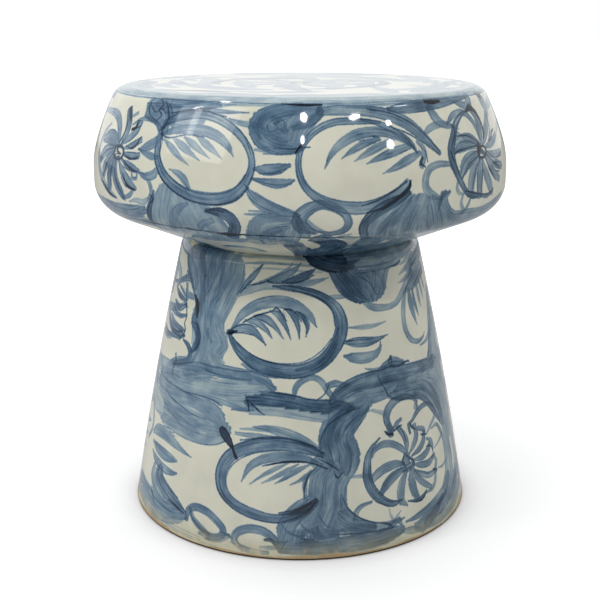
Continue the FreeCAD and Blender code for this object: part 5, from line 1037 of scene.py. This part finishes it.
def smooth_route(points, girth):
    """A smooth run of close points through a stroke's few given ones."""
    if len(points) < 3:
        steps = np.linspace(0, 1, 6)[:, None]
        return points[0] * (1 - steps) + points[-1] * steps
    ends = np.vstack([2 * points[0] - points[1], points, 2 * points[-1] - points[-2]])
    out = []
    for a, b, c, d in zip(ends[:-3], ends[1:-2], ends[2:-1], ends[3:]):
        reach = math.hypot((c[0] - b[0]) * girth, c[1] - b[1])
        t = np.linspace(0, 1, max(3, int(reach / STEP)), endpoint=False)[:, None]
        out.append(
            0.5 * (2 * b + (c - a) * t + (2 * a - 5 * b + 4 * c - d) * t**2
            + (3 * b - a - 3 * c + d) * t**3)
        )
    out = np.vstack(out + [points[-1:]])
    out[:, 2] = np.maximum(out[:, 2], THINNEST)
    return out


class Turning:
    """A cross-section drawn edge by edge in edit mode, then spun round the stool's axis."""

    START = 0.002  # the plane that is merged into the section's first vertex
    EDGE_GAP = 0.000005
    SEAM_GAP = 0.00002
    SHARP = 32

    def __init__(self, name, radius, height):
        bpy.ops.object.select_all(action="DESELECT")
        bpy.ops.mesh.primitive_plane_add(size=self.START, location=(0, 0, 0))
        self.object = bpy.context.object
        self.object.name = name
        bpy.ops.object.mode_set(mode="EDIT")
        bpy.ops.mesh.select_mode(type="VERT")
        bpy.ops.mesh.select_all(action="SELECT")
        bpy.ops.mesh.merge(type="CENTER")
        bpy.ops.transform.translate(value=(radius, 0, height))
        self.place = (radius, height)

    def line(self, radius, height, steps=1):
        """A straight run to a radius and height, in that many edges."""
        run, rise = (radius - self.place[0]) / steps, (height - self.place[1]) / steps
        for _ in range(steps):
            bpy.ops.mesh.extrude_vertices_move(TRANSFORM_OT_translate={"value": (run, 0, rise)})
        self.place = (radius, height)
        return self

    def arc(self, centre, degrees, steps):
        """An arc round a centre, counter-clockwise as seen from the front with +X to the right."""
        turn = math.radians(degrees)
        bpy.ops.mesh.spin(
            steps=steps, angle=turn, center=(centre[0], 0, centre[1]), axis=(0, 1, 0)
        )
        x, z = self.place[0] - centre[0], self.place[1] - centre[1]
        self.place = (
            centre[0] + x * math.cos(turn) - z * math.sin(turn),
            centre[1] + x * math.sin(turn) + z * math.cos(turn),
        )
        return self

    def turn(self, steps):
        """Sweeps the section once round, closes its seam and poles and turns its faces outwards."""
        bpy.ops.mesh.select_all(action="SELECT")
        bpy.ops.mesh.remove_doubles(threshold=self.EDGE_GAP)
        bpy.ops.object.mode_set(mode="OBJECT")
        bpy.ops.object.modifier_add(type="SCREW")
        sweep = self.object.modifiers[-1]
        sweep.steps = sweep.render_steps = steps
        sweep.use_merge_vertices = True
        sweep.merge_threshold = self.SEAM_GAP
        bpy.ops.object.modifier_apply(modifier=sweep.name)
        bpy.ops.object.mode_set(mode="EDIT")
        bpy.ops.mesh.select_all(action="SELECT")
        bpy.ops.mesh.remove_doubles(threshold=self.SEAM_GAP)
        bpy.ops.mesh.select_all(action="SELECT")
        bpy.ops.mesh.normals_make_consistent(inside=False)
        bpy.ops.object.mode_set(mode="OBJECT")
        bpy.ops.object.shade_smooth_by_angle(angle=math.radians(self.SHARP))
        return self.object


def polar(centre, radius, degrees):
    """A place that far from a centre, in that direction."""
    angle = math.radians(degrees)
    return centre[0] + radius * math.cos(angle), centre[1] + radius * math.sin(angle)


def bearing(start, end):
    """The direction from one place to another, in degrees."""
    return math.degrees(math.atan2(end[1] - start[1], end[0] - start[0]))


class Outline:
    """The centres, radii and angles of the stool's outline, worked out from its sizes."""

    def __init__(self, sizes):
        self.height = sizes.height
        self.neck = (sizes.neck_radius, sizes.neck_height)
        self.wall = sizes.wall
        self.flat = sizes.flat_radius
        self.disc = sizes.disc_radius
        self.seat = sizes.seat_radius
        self.base = (sizes.base_radius, FOOT_HEIGHT)
        self.roll = (self.seat - ROLL_RADIUS, sizes.neck_height + ROLL_RISE)
        self.belly_top = sizes.neck_height + BELLY_RISE
        self.upper_angle, self.corner_angle = self.shoulder_angles()
        self.upper_radius = UPPER_RISE / math.sin(math.radians(self.upper_angle))
        self.upper = (self.seat - self.upper_radius, self.belly_top)
        self.corner = (self.flat, self.height - CORNER_RADIUS)
        self.shoulder = polar(self.corner, CORNER_RADIUS - SHOULDER_RADIUS, self.corner_angle)
        reach = self.roll[0] - self.neck[0]
        slope = math.atan2(ROLL_RISE, reach) - math.asin(ROLL_RADIUS / math.hypot(reach, ROLL_RISE))
        self.slope = slope
        self.turn = 90 - math.degrees(slope)
        self.seam = self.turn - SEAM_DEGREES
        self.heel = (self.neck[0] - NECK_LAP, self.neck[1] - NECK_LAP * math.tan(slope))
        self.bow_end = (self.neck[0] + BOW_END_OUT, self.neck[1] - BOW_END_DOWN)
        chord = math.dist(self.base, self.bow_end)
        middle = ((self.base[0] + self.bow_end[0]) / 2, (self.base[1] + self.bow_end[1]) / 2)
        inward = bearing(self.base, self.bow_end) + 90
        self.bow = polar(middle, math.sqrt(BOW_RADIUS**2 - chord**2 / 4), inward)
        self.bow_swing = 2 * math.degrees(math.asin(chord / (2 * BOW_RADIUS)))

    def shoulder_angles(self):
        """The leans between which the shoulder's arc fits, found by halving."""
        rise = self.height - CORNER_RADIUS - self.belly_top - UPPER_RISE
        inner = SHOULDER_RADIUS - CORNER_RADIUS
        low, high = 1.0, 45.0
        for _ in range(60):
            lean = (low + high) / 2
            start = math.radians(lean)
            end = math.asin((rise + SHOULDER_RADIUS * math.sin(start)) / inner)
            gap = SHOULDER_RADIUS * math.cos(start) - inner * math.cos(end)
            gap += UPPER_RISE * math.tan(start / 2)
            if gap < self.seat - self.flat:
                low = lean
            else:
                high = lean
        return lean, math.degrees(end)

    def side(self):
        """The painted outline from the crease up to the slab, as many close points."""
        arcs = (
            (self.roll, ROLL_RADIUS, -self.turn, 0, 60),
            (self.upper, self.upper_radius, 0, self.upper_angle, 40),
            (self.shoulder, SHOULDER_RADIUS, self.upper_angle, self.corner_angle, 40),
            (self.corner, CORNER_RADIUS, self.corner_angle, 90, 30),
        )
        places = [self.neck]
        for centre, radius, start, end, count in arcs:
            places += [polar(centre, radius, angle) for angle in np.linspace(start, end, count)]
        return np.array(places + [(0.0, self.height)])

    def bow_at(self, height, thickness=0.0):
        """The radius of the pedestal's bow at a height, or of its inner face."""
        return self.bow[0] + np.sqrt((BOW_RADIUS - thickness) ** 2 - (height - self.bow[1]) ** 2)


def surface_heights(points, outline):
    """How far up the outline each place lies, in millimetres, and how far off it."""
    lengths = np.hypot(*np.diff(outline, axis=0).T)
    walked = np.concatenate([[0], np.cumsum(lengths)])
    rings, ring_of = np.unique(np.round(points, 5), axis=0, return_inverse=True)
    start, step = outline[:-1], np.diff(outline, axis=0)
    rest = rings[:, None, :] - start[None]
    part = (rest * step[None]).sum(2) / np.maximum((step**2).sum(1), 1e-12)[None]
    part = np.clip(part, 0, 1)
    gap = np.linalg.norm(rest - part[:, :, None] * step[None], axis=2)
    best = gap.argmin(1)
    row = np.arange(len(rings))
    up = walked[best] + part[row, best] * lengths[best]
    ring_of = ring_of.reshape(-1)
    return up[ring_of] / MM, gap[row, best][ring_of] / MM


def vertices_of(piece):
    """The piece's vertices as an array, in metres."""
    places = np.empty(len(piece.data.vertices) * 3, np.float32)
    piece.data.vertices.foreach_get("co", places)
    return places.reshape(-1, 3).astype(float)


def keep_paint(piece, canvas, inside):
    """Writes the canvas to the piece's attributes. Places inside the stool are bare clay."""
    canvas.wash[:, inside, 0] = UNPAINTED
    bare = piece.data.attributes.new("bare", "FLOAT", "POINT")
    bare.data.foreach_set("value", inside.astype(np.float32))
    for layer in range(LAYERS):
        for name, values in (("route", canvas.route[layer]), ("wash", canvas.wash[layer])):
            attribute = piece.data.attributes.new(f"{name}_{layer + 1}", "FLOAT_VECTOR", "POINT")
            attribute.data.foreach_set("vector", values.reshape(-1))


def paint_round(piece, strokes, outline=None):
    """Paints a piece of revolution, by its height or by how far up the outline it lies."""
    places = vertices_of(piece)
    around = np.degrees(np.arctan2(places[:, 0], -places[:, 1]))
    radius = np.hypot(places[:, 0], places[:, 1])
    girth = np.maximum(radius, 20 * MM) / MM * math.pi / 180
    if outline is None:
        up, inside = places[:, 2] / MM, np.zeros(len(places), bool)
    else:
        up, off = surface_heights(np.column_stack([radius, places[:, 2]]), outline)
        inside = off > SKIN
    canvas = Canvas(around, up, girth)
    canvas.paint(strokes)
    return canvas, inside


class Value:
    """A number on its way through a shader. Arithmetic on it adds Math nodes."""

    def __init__(self, shader, socket):
        self.shader = shader
        self.socket = socket

    def maths(self, operation, *others, clamp=False):
        """One Math node on this value and others."""
        settings = {"operation": operation, "use_clamp": clamp}
        return self.shader.node("ShaderNodeMath", settings, {0: self, **dict(enumerate(others, 1))})

    def __add__(self, other):
        return self.maths("ADD", other)

    def __radd__(self, other):
        return self.maths("ADD", other)

    def __sub__(self, other):
        return self.maths("SUBTRACT", other)

    def __rsub__(self, other):
        return self.shader.node("ShaderNodeMath", {"operation": "SUBTRACT"}, {0: other, 1: self})

    def __mul__(self, other):
        return self.maths("MULTIPLY", other)

    def __rmul__(self, other):
        return self.maths("MULTIPLY", other)

    def __truediv__(self, other):
        return self.maths("DIVIDE", other)

    def smallest(self, other):
        return self.maths("MINIMUM", other)

    def largest(self, other):
        return self.maths("MAXIMUM", other)

    def size(self):
        return self.maths("ABSOLUTE")

    def limited(self):
        """The value, kept between 0 and 1."""
        return self.maths("MULTIPLY", 1.0, clamp=True)


class Shader:
    """The node tree of a material, or of the world."""

    def __init__(self, name, kind="materials", surface="Principled BSDF"):
        self.owner = getattr(bpy.data, kind).new(name)
        self.owner.use_nodes = True
        self.tree = self.owner.node_tree
        self.surface = self.tree.nodes[surface]

    def feed(self, socket, value):
        """Links a value to a socket, or sets the socket where the value is plain."""
        if isinstance(value, Value):
            self.tree.links.new(value.socket, socket)
        else:
            socket.default_value = value

    def node(self, kind, settings=None, inputs=None, output=0):
        """Adds a node, sets it up, links or sets its sockets and returns one of its outputs."""
        made = self.tree.nodes.new(kind)
        for name, value in (settings or {}).items():
            if name == "stops":
                self.set_stops(made, value)
            else:
                setattr(made, name, value)
        for name, value in (inputs or {}).items():
            self.feed(made.inputs[name], value)
        return Value(self, made.outputs[output])

    def set_stops(self, ramp, stops):
        """Gives a colour ramp its stops, as (place, colour) pairs."""
        elements = ramp.color_ramp.elements
        while len(elements) < len(stops):
            elements.new(1.0)
        for element, (place, colour) in zip(elements, stops):
            element.position = place
            element.color = (*colour, 1.0)

    def set(self, **values):
        """Sets or links the surface's sockets, named with underscores for spaces."""
        for name, value in values.items():
            self.feed(self.surface.inputs[name.replace("_", " ")], value)

    def attribute(self, name):
        """The three numbers of a vector attribute."""
        kind = {"attribute_name": name}
        return self.parts(self.node("ShaderNodeAttribute", kind, output="Vector"))

    def parts(self, vector):
        """A vector's three numbers."""
        split = self.tree.nodes.new("ShaderNodeSeparateXYZ")
        self.feed(split.inputs[0], vector)
        return [Value(self, number) for number in split.outputs]

    def vector(self, x, y, z):
        return self.node("ShaderNodeCombineXYZ", {}, {0: x, 1: y, 2: z})

    def place(self):
        """The place on the object, in metres."""
        return self.node("ShaderNodeTexCoord", output="Object")

    def noise(self, place, scale, detail, roughness=0.5):
        """Soft noise between 0 and 1."""
        inputs = {"Vector": place, "Scale": scale, "Detail": detail, "Roughness": roughness}
        return self.node("ShaderNodeTexNoise", {}, inputs)

    def mix(self, amount, first, second, how="MIX"):
        """Mixes two colours."""
        settings = {"data_type": "RGBA", "blend_type": how}
        return self.node("ShaderNodeMix", settings, {0: amount, 6: first, 7: second}, 2)

    def bump(self, height, distance, strength):
        inputs = {"Height": height, "Distance": distance, "Strength": strength}
        return self.node("ShaderNodeBump", {}, inputs)


def blue_stops():
    """How the colour under the glaze darkens with the amount of blue, from none to the most."""
    stops = []
    for amount in (0, 0.12, 0.25, 0.4, 0.6, 0.85, 1.1, 1.5, 2.0, 2.8, MOST_PIGMENT):
        deep = amount if amount < 1 else 1 + (amount - 1) * 0.8
        colour = tuple(math.exp(-first * deep - second * deep**2) for first, second in PIGMENT)
        stops.append((amount / MOST_PIGMENT, colour))
    return stops


def pigment(shader, place):
    """How much blue lies at a place, summed over the layers of brush strokes."""
    wobble = (shader.noise(place, 420.0, 2.0) - 0.5) * 1.1
    total = None
    for layer in range(1, LAYERS + 1):
        across, along, half = shader.attribute(f"route_{layer}")
        edge, wash, rim = shader.attribute(f"wash_{layer}")
        hairs = shader.noise(shader.vector(across * 0.62, along * 0.02, layer * 5.3), 1.0, 3.0, 0.7)
        load = shader.noise(shader.vector(across * 0.1, along * 0.05, layer * 9.1), 1.0, 2.0) - 0.5
        inner = half - across.size()
        ragged = edge + 1.1 + (hairs - 0.4) * 2.6
        depth = inner.smallest(ragged) + wobble
        cover = (depth * 0.9 + 0.5).limited()
        dried = (1.15 - inner * 0.75).limited() * rim
        fine = (hairs - 0.57).largest(0.0) * 3.8 + (hairs - 0.5) * 1.7
        amount = cover * wash * (fine + load * 1.5 + dried + 1.0)
        amount = amount * amount.size()
        total = amount if total is None else total + amount
    cloud = shader.noise(place, 22.0, 3.0) - 0.5
    speckle = shader.noise(place, 520.0, 2.0, 0.6) - 0.5
    return total.largest(0.0).maths("SQRT") * (1.7 + cloud * 0.8 + speckle * 0.5)


def weathered(shader, place, parts, colour, blue, mottle):
    """The painted glaze with its cooler side, the wiped and rusty foot, pale pinhole dots painted
    as glints, and specks.
    """
    left, front, height = parts
    cooler = blue.limited() * (0.55 - left * 5.0).limited()
    rusty = (1.2 - height * 58.0 + (mottle - 0.5) * 1.4).limited() * 0.46
    wiped = shader.noise(shader.vector(left * 7.0, front * 7.0, height * 800.0), 1.0, 2.0) - 0.52
    wiped = (wiped * 9.0).limited() * (1.25 - height * 75.0).limited() * 0.4
    # Painted highlights: pale pinhole dots stand for glints where the glaze catches the light
    pinhole_glints = (shader.noise(place, 310.0, 1.0) * 16.0 - 12.9).limited()
    specks = (shader.noise(place, 700.0, 1.0) * 9.0 - 6.95).limited()
    colour = shader.mix(cooler, colour, COOLED, "MULTIPLY")
    for amount, shade in (
        (rusty, RUST), (wiped, WIPED), (pinhole_glints * 0.75, PINHOLE_GLINT), (specks * 0.25, SPECK)
    ):
        colour = shader.mix(amount, colour, shade)
    return colour


def glaze_end(shader, place, height, colour, colours):
    """The glaze with its uneven end on the clay, a painted contact shadow along the foot's bottom
    edge, and how bare each place is.
    """
    bare = shader.node("ShaderNodeAttribute", {"attribute_name": "bare"}, output="Fac")
    end = (bare - 0.5 + (shader.noise(place, 90.0, 3.0) - 0.5) * 0.7) * 9.0 + 0.5
    bare = end.limited()
    patches = (shader.noise(place, 16.0, 2.0) * 5.0 - 2.0).limited()
    low = (1.8 - height * 100.0).limited()
    iron = (1.0 - (end + 0.5).size() * 0.5).limited() * (patches * 0.65 + 0.35) * low
    pale = (1.3 - (end + 1.2).size() * 0.4).limited() * (1.0 - patches) * low
    # Painted contact shadow: the lowest few millimetres of the foot darken almost to black
    contact_shade = (3.4 - height * 1300.0).limited() * 0.95
    clay = clay_colour(shader, place, colours)
    for amount, shade in ((pale.limited(), PALE_SLIP), (iron, IRON), (bare, clay), (contact_shade, CONTACT_SHADE)):
        colour = shader.mix(amount, colour, shade)
    return colour, bare


def painted_glaze(colours):
    """Clear glaze over blue brush strokes on an off-white ground, and clay where it is bare."""
    shader = Shader("blue_brushed_glaze")
    place = shader.place()
    blue = pigment(shader, place)
    stain = shader.node("ShaderNodeValToRGB", {"stops": blue_stops()}, {"Fac": blue / MOST_PIGMENT})
    mottle = shader.noise(place, 34.0, 3.0)
    grey = (*(c * 0.88 for c in colours.ground), 1.0)
    ground = shader.mix((mottle * 2.2 - 0.6).limited(), (*colours.ground, 1.0), grey)
    colour = shader.mix(1.0, ground, stain, "MULTIPLY")
    parts = shader.parts(place)
    colour = weathered(shader, place, parts, colour, blue, mottle)
    colour, bare = glaze_end(shader, place, parts[2], colour, colours)
    ripple = shader.noise(place, 28.0, 2.0) * 0.8 + shader.noise(place, 95.0, 1.0) * 0.3
    shader.set(
        Base_Color=colour,
        Roughness=0.35 + bare * 0.45,
        Coat_Weight=1.0 - bare,
        Coat_Roughness=colours.gloss,
        Coat_IOR=1.5,
        Specular_IOR_Level=0.0,
        Normal=shader.bump(ripple, 0.0016, 0.5),
    )
    return shader.owner


def clay_colour(shader, place, colours):
    """The fired clay's sandy colour, lighter and darker in patches."""
    grain = shader.noise(place, 900.0, 3.0, 0.7)
    patch = shader.noise(place, 45.0, 3.0)
    dark = (*(c * 0.6 for c in colours.clay), 1.0)
    sandy = shader.mix((grain * 1.3 - 0.1).limited(), dark, (*colours.clay, 1.0))
    return shader.mix((patch * 1.6 - 0.6).limited(), sandy, SAND)


def bare_clay(colours):
    """Unglazed fired clay, sandy and matt."""
    shader = Shader("sandy_clay")
    place = shader.place()
    shader.set(
        Base_Color=clay_colour(shader, place, colours),
        Roughness=0.8,
        Specular_IOR_Level=0.3,
        Normal=shader.bump(shader.noise(place, 900.0, 3.0, 0.7), 0.0006, 0.6),
    )
    return shader.owner


COATS = {
    "painted_glaze": ("blue_brushed_glaze", painted_glaze),
    "bare_clay": ("sandy_clay", bare_clay),
}


def material(coat):
    """The material for a coat, made once and shared by the pieces."""
    name, make = COATS[coat]
    return bpy.data.materials.get(name) or make(bpy.context.scene.stool_colours)


def settle(piece, node, slot, coat=None):
    """Gives a finished piece its material and its place in the frame."""
    piece.data.materials.clear()
    piece.data.materials.append(material(coat or slot))
    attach(piece, "root")
    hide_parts(node)


class STOOL_OT_top_disc(bpy.types.Operator):
    """The painted round slab in the top of the seat"""

    bl_idname = "stool.top_disc"
    bl_label = "Top disc"

    def execute(self, context):
        form = Outline(context.scene.stool_sizes)
        low = form.height - SLAB
        work = Turning("top_disc", 0, low)
        work.line(form.disc, low, 8).line(form.disc, form.height, 2).line(0, form.height, 90)
        piece = work.turn(480)
        places = vertices_of(piece)
        canvas, inside = paint_round(piece, SEAT_STROKES, form.side())
        flat = Canvas(places[:, 0] / MM, places[:, 1] / MM, np.ones(len(places)), closed=False)
        flat.paint(MEDALLION)
        hidden = places[:, 2] < form.height - 0.5 * MM
        far = flat.wash[:, :, 0] > canvas.wash[:, :, 0]
        canvas.route[far] = flat.route[far]
        canvas.wash[far] = flat.wash[far]
        keep_paint(piece, canvas, inside | hidden)
        settle(piece, "seat_top_disc", "painted_glaze")
        return {"FINISHED"}


class STOOL_OT_seat_side(bpy.types.Operator):
    """The painted pillow-shaped side of the seat, with its inner wall and gallery"""

    bl_idname = "stool.seat_side"
    bl_label = "Seat side"

    def execute(self, context):
        form = Outline(context.scene.stool_sizes)
        start = polar(form.roll, ROLL_RADIUS, -form.seam)
        work = Turning("seat_side", *start)
        work.arc(form.roll, form.seam, 20).line(form.seat, form.belly_top, 7)
        work.arc(form.upper, form.upper_angle, 19)
        work.arc(form.shoulder, form.corner_angle - form.upper_angle, 26)
        work.arc(form.corner, 90 - form.corner_angle, 13).line(form.disc, form.height, 3)
        self.gallery(work, form)
        self.inner_wall(work, form)
        work.line(*start)
        piece = work.turn(720)
        canvas, inside = paint_round(piece, SEAT_STROKES, form.side())
        keep_paint(piece, canvas, inside)
        settle(piece, "seat_side_wall", "painted_glaze")
        return {"FINISHED"}

    def gallery(self, work, form):
        """The ledge that the slab lies on."""
        ledge = form.height - SLAB
        work.line(form.disc, ledge, 2).line(form.disc - LEDGE, ledge)
        work.line(form.disc - LEDGE, ledge - LEDGE)

    def inner_wall(self, work, form):
        """The inside of the wall, from the ledge down to the seam."""
        inner = SHOULDER_RADIUS - form.wall
        ledge_foot = form.height - SLAB - LEDGE
        root = math.degrees(math.asin((ledge_foot - form.shoulder[1]) / inner))
        work.line(*polar(form.shoulder, inner, root))
        work.arc(form.shoulder, form.upper_angle - root, 6)
        work.arc(form.upper, -form.upper_angle, 4).line(form.seat - form.wall, form.roll[1])
        work.arc(form.roll, -form.seam, 5)


class STOOL_OT_underside(bpy.types.Operator):
    """The painted dish under the seat"""

    bl_idname = "stool.underside"
    bl_label = "Underside"

    def execute(self, context):
        form = Outline(context.scene.stool_sizes)
        work = Turning("underside", *form.heel)
        turn = polar(form.roll, ROLL_RADIUS, -form.turn)
        work.line(*form.neck, 2).line(*turn, 44).arc(form.roll, form.turn - form.seam, 4)
        work.line(*polar(form.roll, ROLL_RADIUS - form.wall, -form.seam))
        work.arc(form.roll, form.seam - form.turn, 3)
        work.line(form.heel[0], form.heel[1] + form.wall / math.cos(form.slope), 4)
        work.line(*form.heel)
        piece = work.turn(480)
        canvas, inside = paint_round(piece, SEAT_STROKES, form.side())
        keep_paint(piece, canvas, inside)
        settle(piece, "seat_underside_dish", "painted_glaze")
        return {"FINISHED"}


class STOOL_OT_pedestal(bpy.types.Operator):
    """The painted flared pedestal, hollow, with its collar"""

    bl_idname = "stool.pedestal"
    bl_label = "Pedestal"

    def execute(self, context):
        form = Outline(context.scene.stool_sizes)
        work = Turning("pedestal", *form.base)
        work.arc(form.bow, form.bow_swing, 150)
        self.crease(work, form)
        self.collar(work, form)
        thick_end = form.neck[1] - THICK_END
        work.line(form.bow_at(thick_end, form.wall), thick_end, 2)
        work.line(form.bow_at(form.base[1], form.wall), form.base[1], 8).line(*form.base)
        piece = work.turn(560)
        canvas, _ = paint_round(piece, PEDESTAL_STROKES)
        places = vertices_of(piece)
        radius = np.hypot(places[:, 0], places[:, 1])
        inside = radius < form.bow_at(places[:, 2]) - 3 * MM
        inside &= places[:, 2] < form.bow_end[1]
        inside |= radius < form.neck[0] - 0.5 * MM
        keep_paint(piece, canvas, inside)
        settle(piece, "pedestal_wall", "painted_glaze")
        return {"FINISHED"}

    def crease(self, work, form):
        """The small arc that bends the end of the bow into the crease."""
        outward = bearing(form.bow, form.bow_end)
        bend = bearing(form.bow_end, form.neck) - (outward + 90)
        radius = math.dist(form.bow_end, form.neck) / (2 * math.sin(math.radians(bend)))
        work.arc(polar(form.bow_end, -radius, outward), 2 * bend, 8)

    def collar(self, work, form):
        """The collar that stands up through the dish's opening."""
        outer, top = form.heel[0], form.neck[1] + COLLAR_RISE
        work.line(*form.heel).line(outer, top).line(outer - COLLAR_WALL, top)
        work.line(outer - COLLAR_WALL, form.neck[1] - COLLAR_RISE)


class STOOL_OT_foot(bpy.types.Operator):
    """The foot ring, bare clay below an uneven edge of glaze"""

    bl_idname = "stool.foot"
    bl_label = "Foot ring"

    def execute(self, context):
        base, top = Outline(context.scene.stool_sizes).base
        swell, inner = base + FOOT_SWELL, base - FOOT_WIDTH
        work = Turning("foot", inner, 0)
        work.line(swell, 0, 3).arc((swell, FOOT_ROUND), 90, 5)
        work.line(base, top, 16).line(inner, top, 3).line(inner, 0, 3)
        piece = work.turn(480)
        canvas, _ = paint_round(piece, PEDESTAL_STROKES)
        places = vertices_of(piece)
        around = np.arctan2(places[:, 0], -places[:, 1])
        edge = 4.0 + 0.9 * np.sin(5 * around + 1) + 0.7 * np.sin(11 * around)
        edge += 0.4 * np.sin(29 * around + 2)
        hidden = np.hypot(places[:, 0], places[:, 1]) < base - MM
        keep_paint(piece, canvas, (places[:, 2] < edge * MM) | hidden)
        settle(piece, "foot_ring", "bare_clay", "painted_glaze")
        return {"FINISHED"}


class STOOL_OT_coils(bpy.types.Operator):
    """The clay coils in the hidden seams keep their shape and get the clay's finish"""

    bl_idname = "stool.coils"
    bl_label = "Seam coils"

    def execute(self, context):
        for name in ("top_seam_coil", "rim_seam_coil", "neck_seam_coil", "foot_seam_coil"):
            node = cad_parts[name]
            node.data.materials.clear()
            node.data.materials.append(material("bare_clay"))
        return {"FINISHED"}


class STOOL_OT_stage(bpy.types.Operator):
    """A pale floor, soft lamps and the camera at the photograph's angle"""

    bl_idname = "stool.stage"
    bl_label = "Stage"

    def execute(self, context):
        self.floor()
        for lamp in LAMPS:
            self.lamp(*lamp)
        self.surroundings(context.scene)
        self.camera(context.scene)
        context.scene.view_settings.view_transform = "Standard"
        return {"FINISHED"}

    def floor(self):
        """A floor that the camera sees as white, with painted shade under and close to the stool.
        """
        bpy.ops.object.select_all(action="DESELECT")
        bpy.ops.mesh.primitive_plane_add(size=30, location=(0, 0, 0))
        floor = bpy.context.object
        floor.name = "floor"
        shader = Shader("floor")
        away = shader.node("ShaderNodeVectorMath", {"operation": "LENGTH"}, {0: shader.place()}, 1)
        # Painted shade: the floor's glow, seen only by the camera, is lower close to the stool's
        # foot
        near = ((away - 0.184) * 40.0).limited().maths("POWER", 0.25)
        lift = near * 0.36 + ((away - 0.2) * 1.5).limited() * 0.5 + 0.1
        shader.set(
            Base_Color=(0.6, 0.6, 0.6, 1.0),
            Roughness=0.9,
            Specular_IOR_Level=0.1,
            Emission_Color=shader.vector(lift, lift, lift),
            Emission_Strength=shader.node("ShaderNodeLightPath", output="Is Camera Ray"),
        )
        floor.data.materials.append(shader.owner)

    def lamp(self, name, place, size, power):
        """A soft lamp with a flat face aimed at the stool."""
        bpy.ops.object.light_add(type="AREA", location=place)
        lamp = bpy.context.object
        lamp.name = name
        lamp.data.shape = "ELLIPSE" if max(size) < 0.3 else "RECTANGLE"
        lamp.data.size, lamp.data.size_y = size
        lamp.data.energy = power
        aim = lamp.location.copy()
        aim.z -= 0.3
        lamp.rotation_mode = "QUATERNION"
        lamp.rotation_quaternion = aim.to_track_quat("Z", "Y")

    def surroundings(self, scene):
        """A white backdrop for the camera, and light that is brighter behind than in front."""
        world = Shader("studio", "worlds", "Background")
        _, back, _ = world.parts(world.node("ShaderNodeTexCoord", output="Generated"))
        spread = {"Value": back, "From Min": -0.3, "From Max": 0.7, "To Min": 0.23, "To Max": 1.0}
        strength = world.node("ShaderNodeMapRange", {}, spread)
        world.set(Color=(0.98, 0.99, 1.0, 1.0), Strength=strength)
        light = Value(world, world.surface.outputs[0])
        white = world.node("ShaderNodeBackground", {}, {"Color": (1.0, 1.0, 1.0, 1.0)})
        seen = world.node("ShaderNodeLightPath", output="Is Camera Ray")
        blend = world.node("ShaderNodeMixShader", {}, {0: seen, 1: light, 2: white})
        world.feed(world.tree.nodes["World Output"].inputs["Surface"], blend)
        scene.world = world.owner

    def camera(self, scene):
        """The camera, at the photograph's distance and looking a little down."""
        bpy.ops.object.camera_add(
            location=(0, -CAMERA_BACK, CAMERA_HEIGHT),
            rotation=(math.radians(90 - CAMERA_DOWN), 0, 0),
        )
        camera = bpy.context.object
        camera.data.lens = CAMERA_LENS
        camera.data.sensor_width = 36
        scene.camera = camera


class STOOL_PT_panel(bpy.types.Panel):
    """The garden stool's pieces, sizes and colours"""

    bl_label = "Garden Stool"
    bl_idname = "STOOL_PT_panel"
    bl_space_type = "VIEW_3D"
    bl_region_type = "UI"
    bl_category = "Garden Stool"

    def draw(self, context):
        layout = self.layout
        for settings in (context.scene.stool_sizes, context.scene.stool_colours):
            for name in settings.bl_rna.properties.keys():
                if name not in ("rna_type", "name"):
                    layout.prop(settings, name)
        for piece in PIECES:
            layout.operator(piece.bl_idname)


PIECES = (
    STOOL_OT_stage,
    STOOL_OT_top_disc,
    STOOL_OT_seat_side,
    STOOL_OT_underside,
    STOOL_OT_pedestal,
    STOOL_OT_foot,
    STOOL_OT_coils,
)
CLASSES = (StoolSizes, StoolColours, *PIECES, STOOL_PT_panel)


def register():
    for made in CLASSES:
        bpy.utils.register_class(made)
    bpy.types.Scene.stool_sizes = bpy.props.PointerProperty(type=StoolSizes)
    bpy.types.Scene.stool_colours = bpy.props.PointerProperty(type=StoolColours)


def unregister():
    del bpy.types.Scene.stool_colours
    del bpy.types.Scene.stool_sizes
    for made in reversed(CLASSES):
        bpy.utils.unregister_class(made)


def main():
    """Builds the stool and its stage."""
    register()
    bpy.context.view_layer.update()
    bpy.ops.stool.stage()
    bpy.ops.stool.top_disc()
    bpy.ops.stool.seat_side()
    bpy.ops.stool.underside()
    bpy.ops.stool.pedestal()
    bpy.ops.stool.foot()
    bpy.ops.stool.coils()


if __name__ == "__main__":
    main()
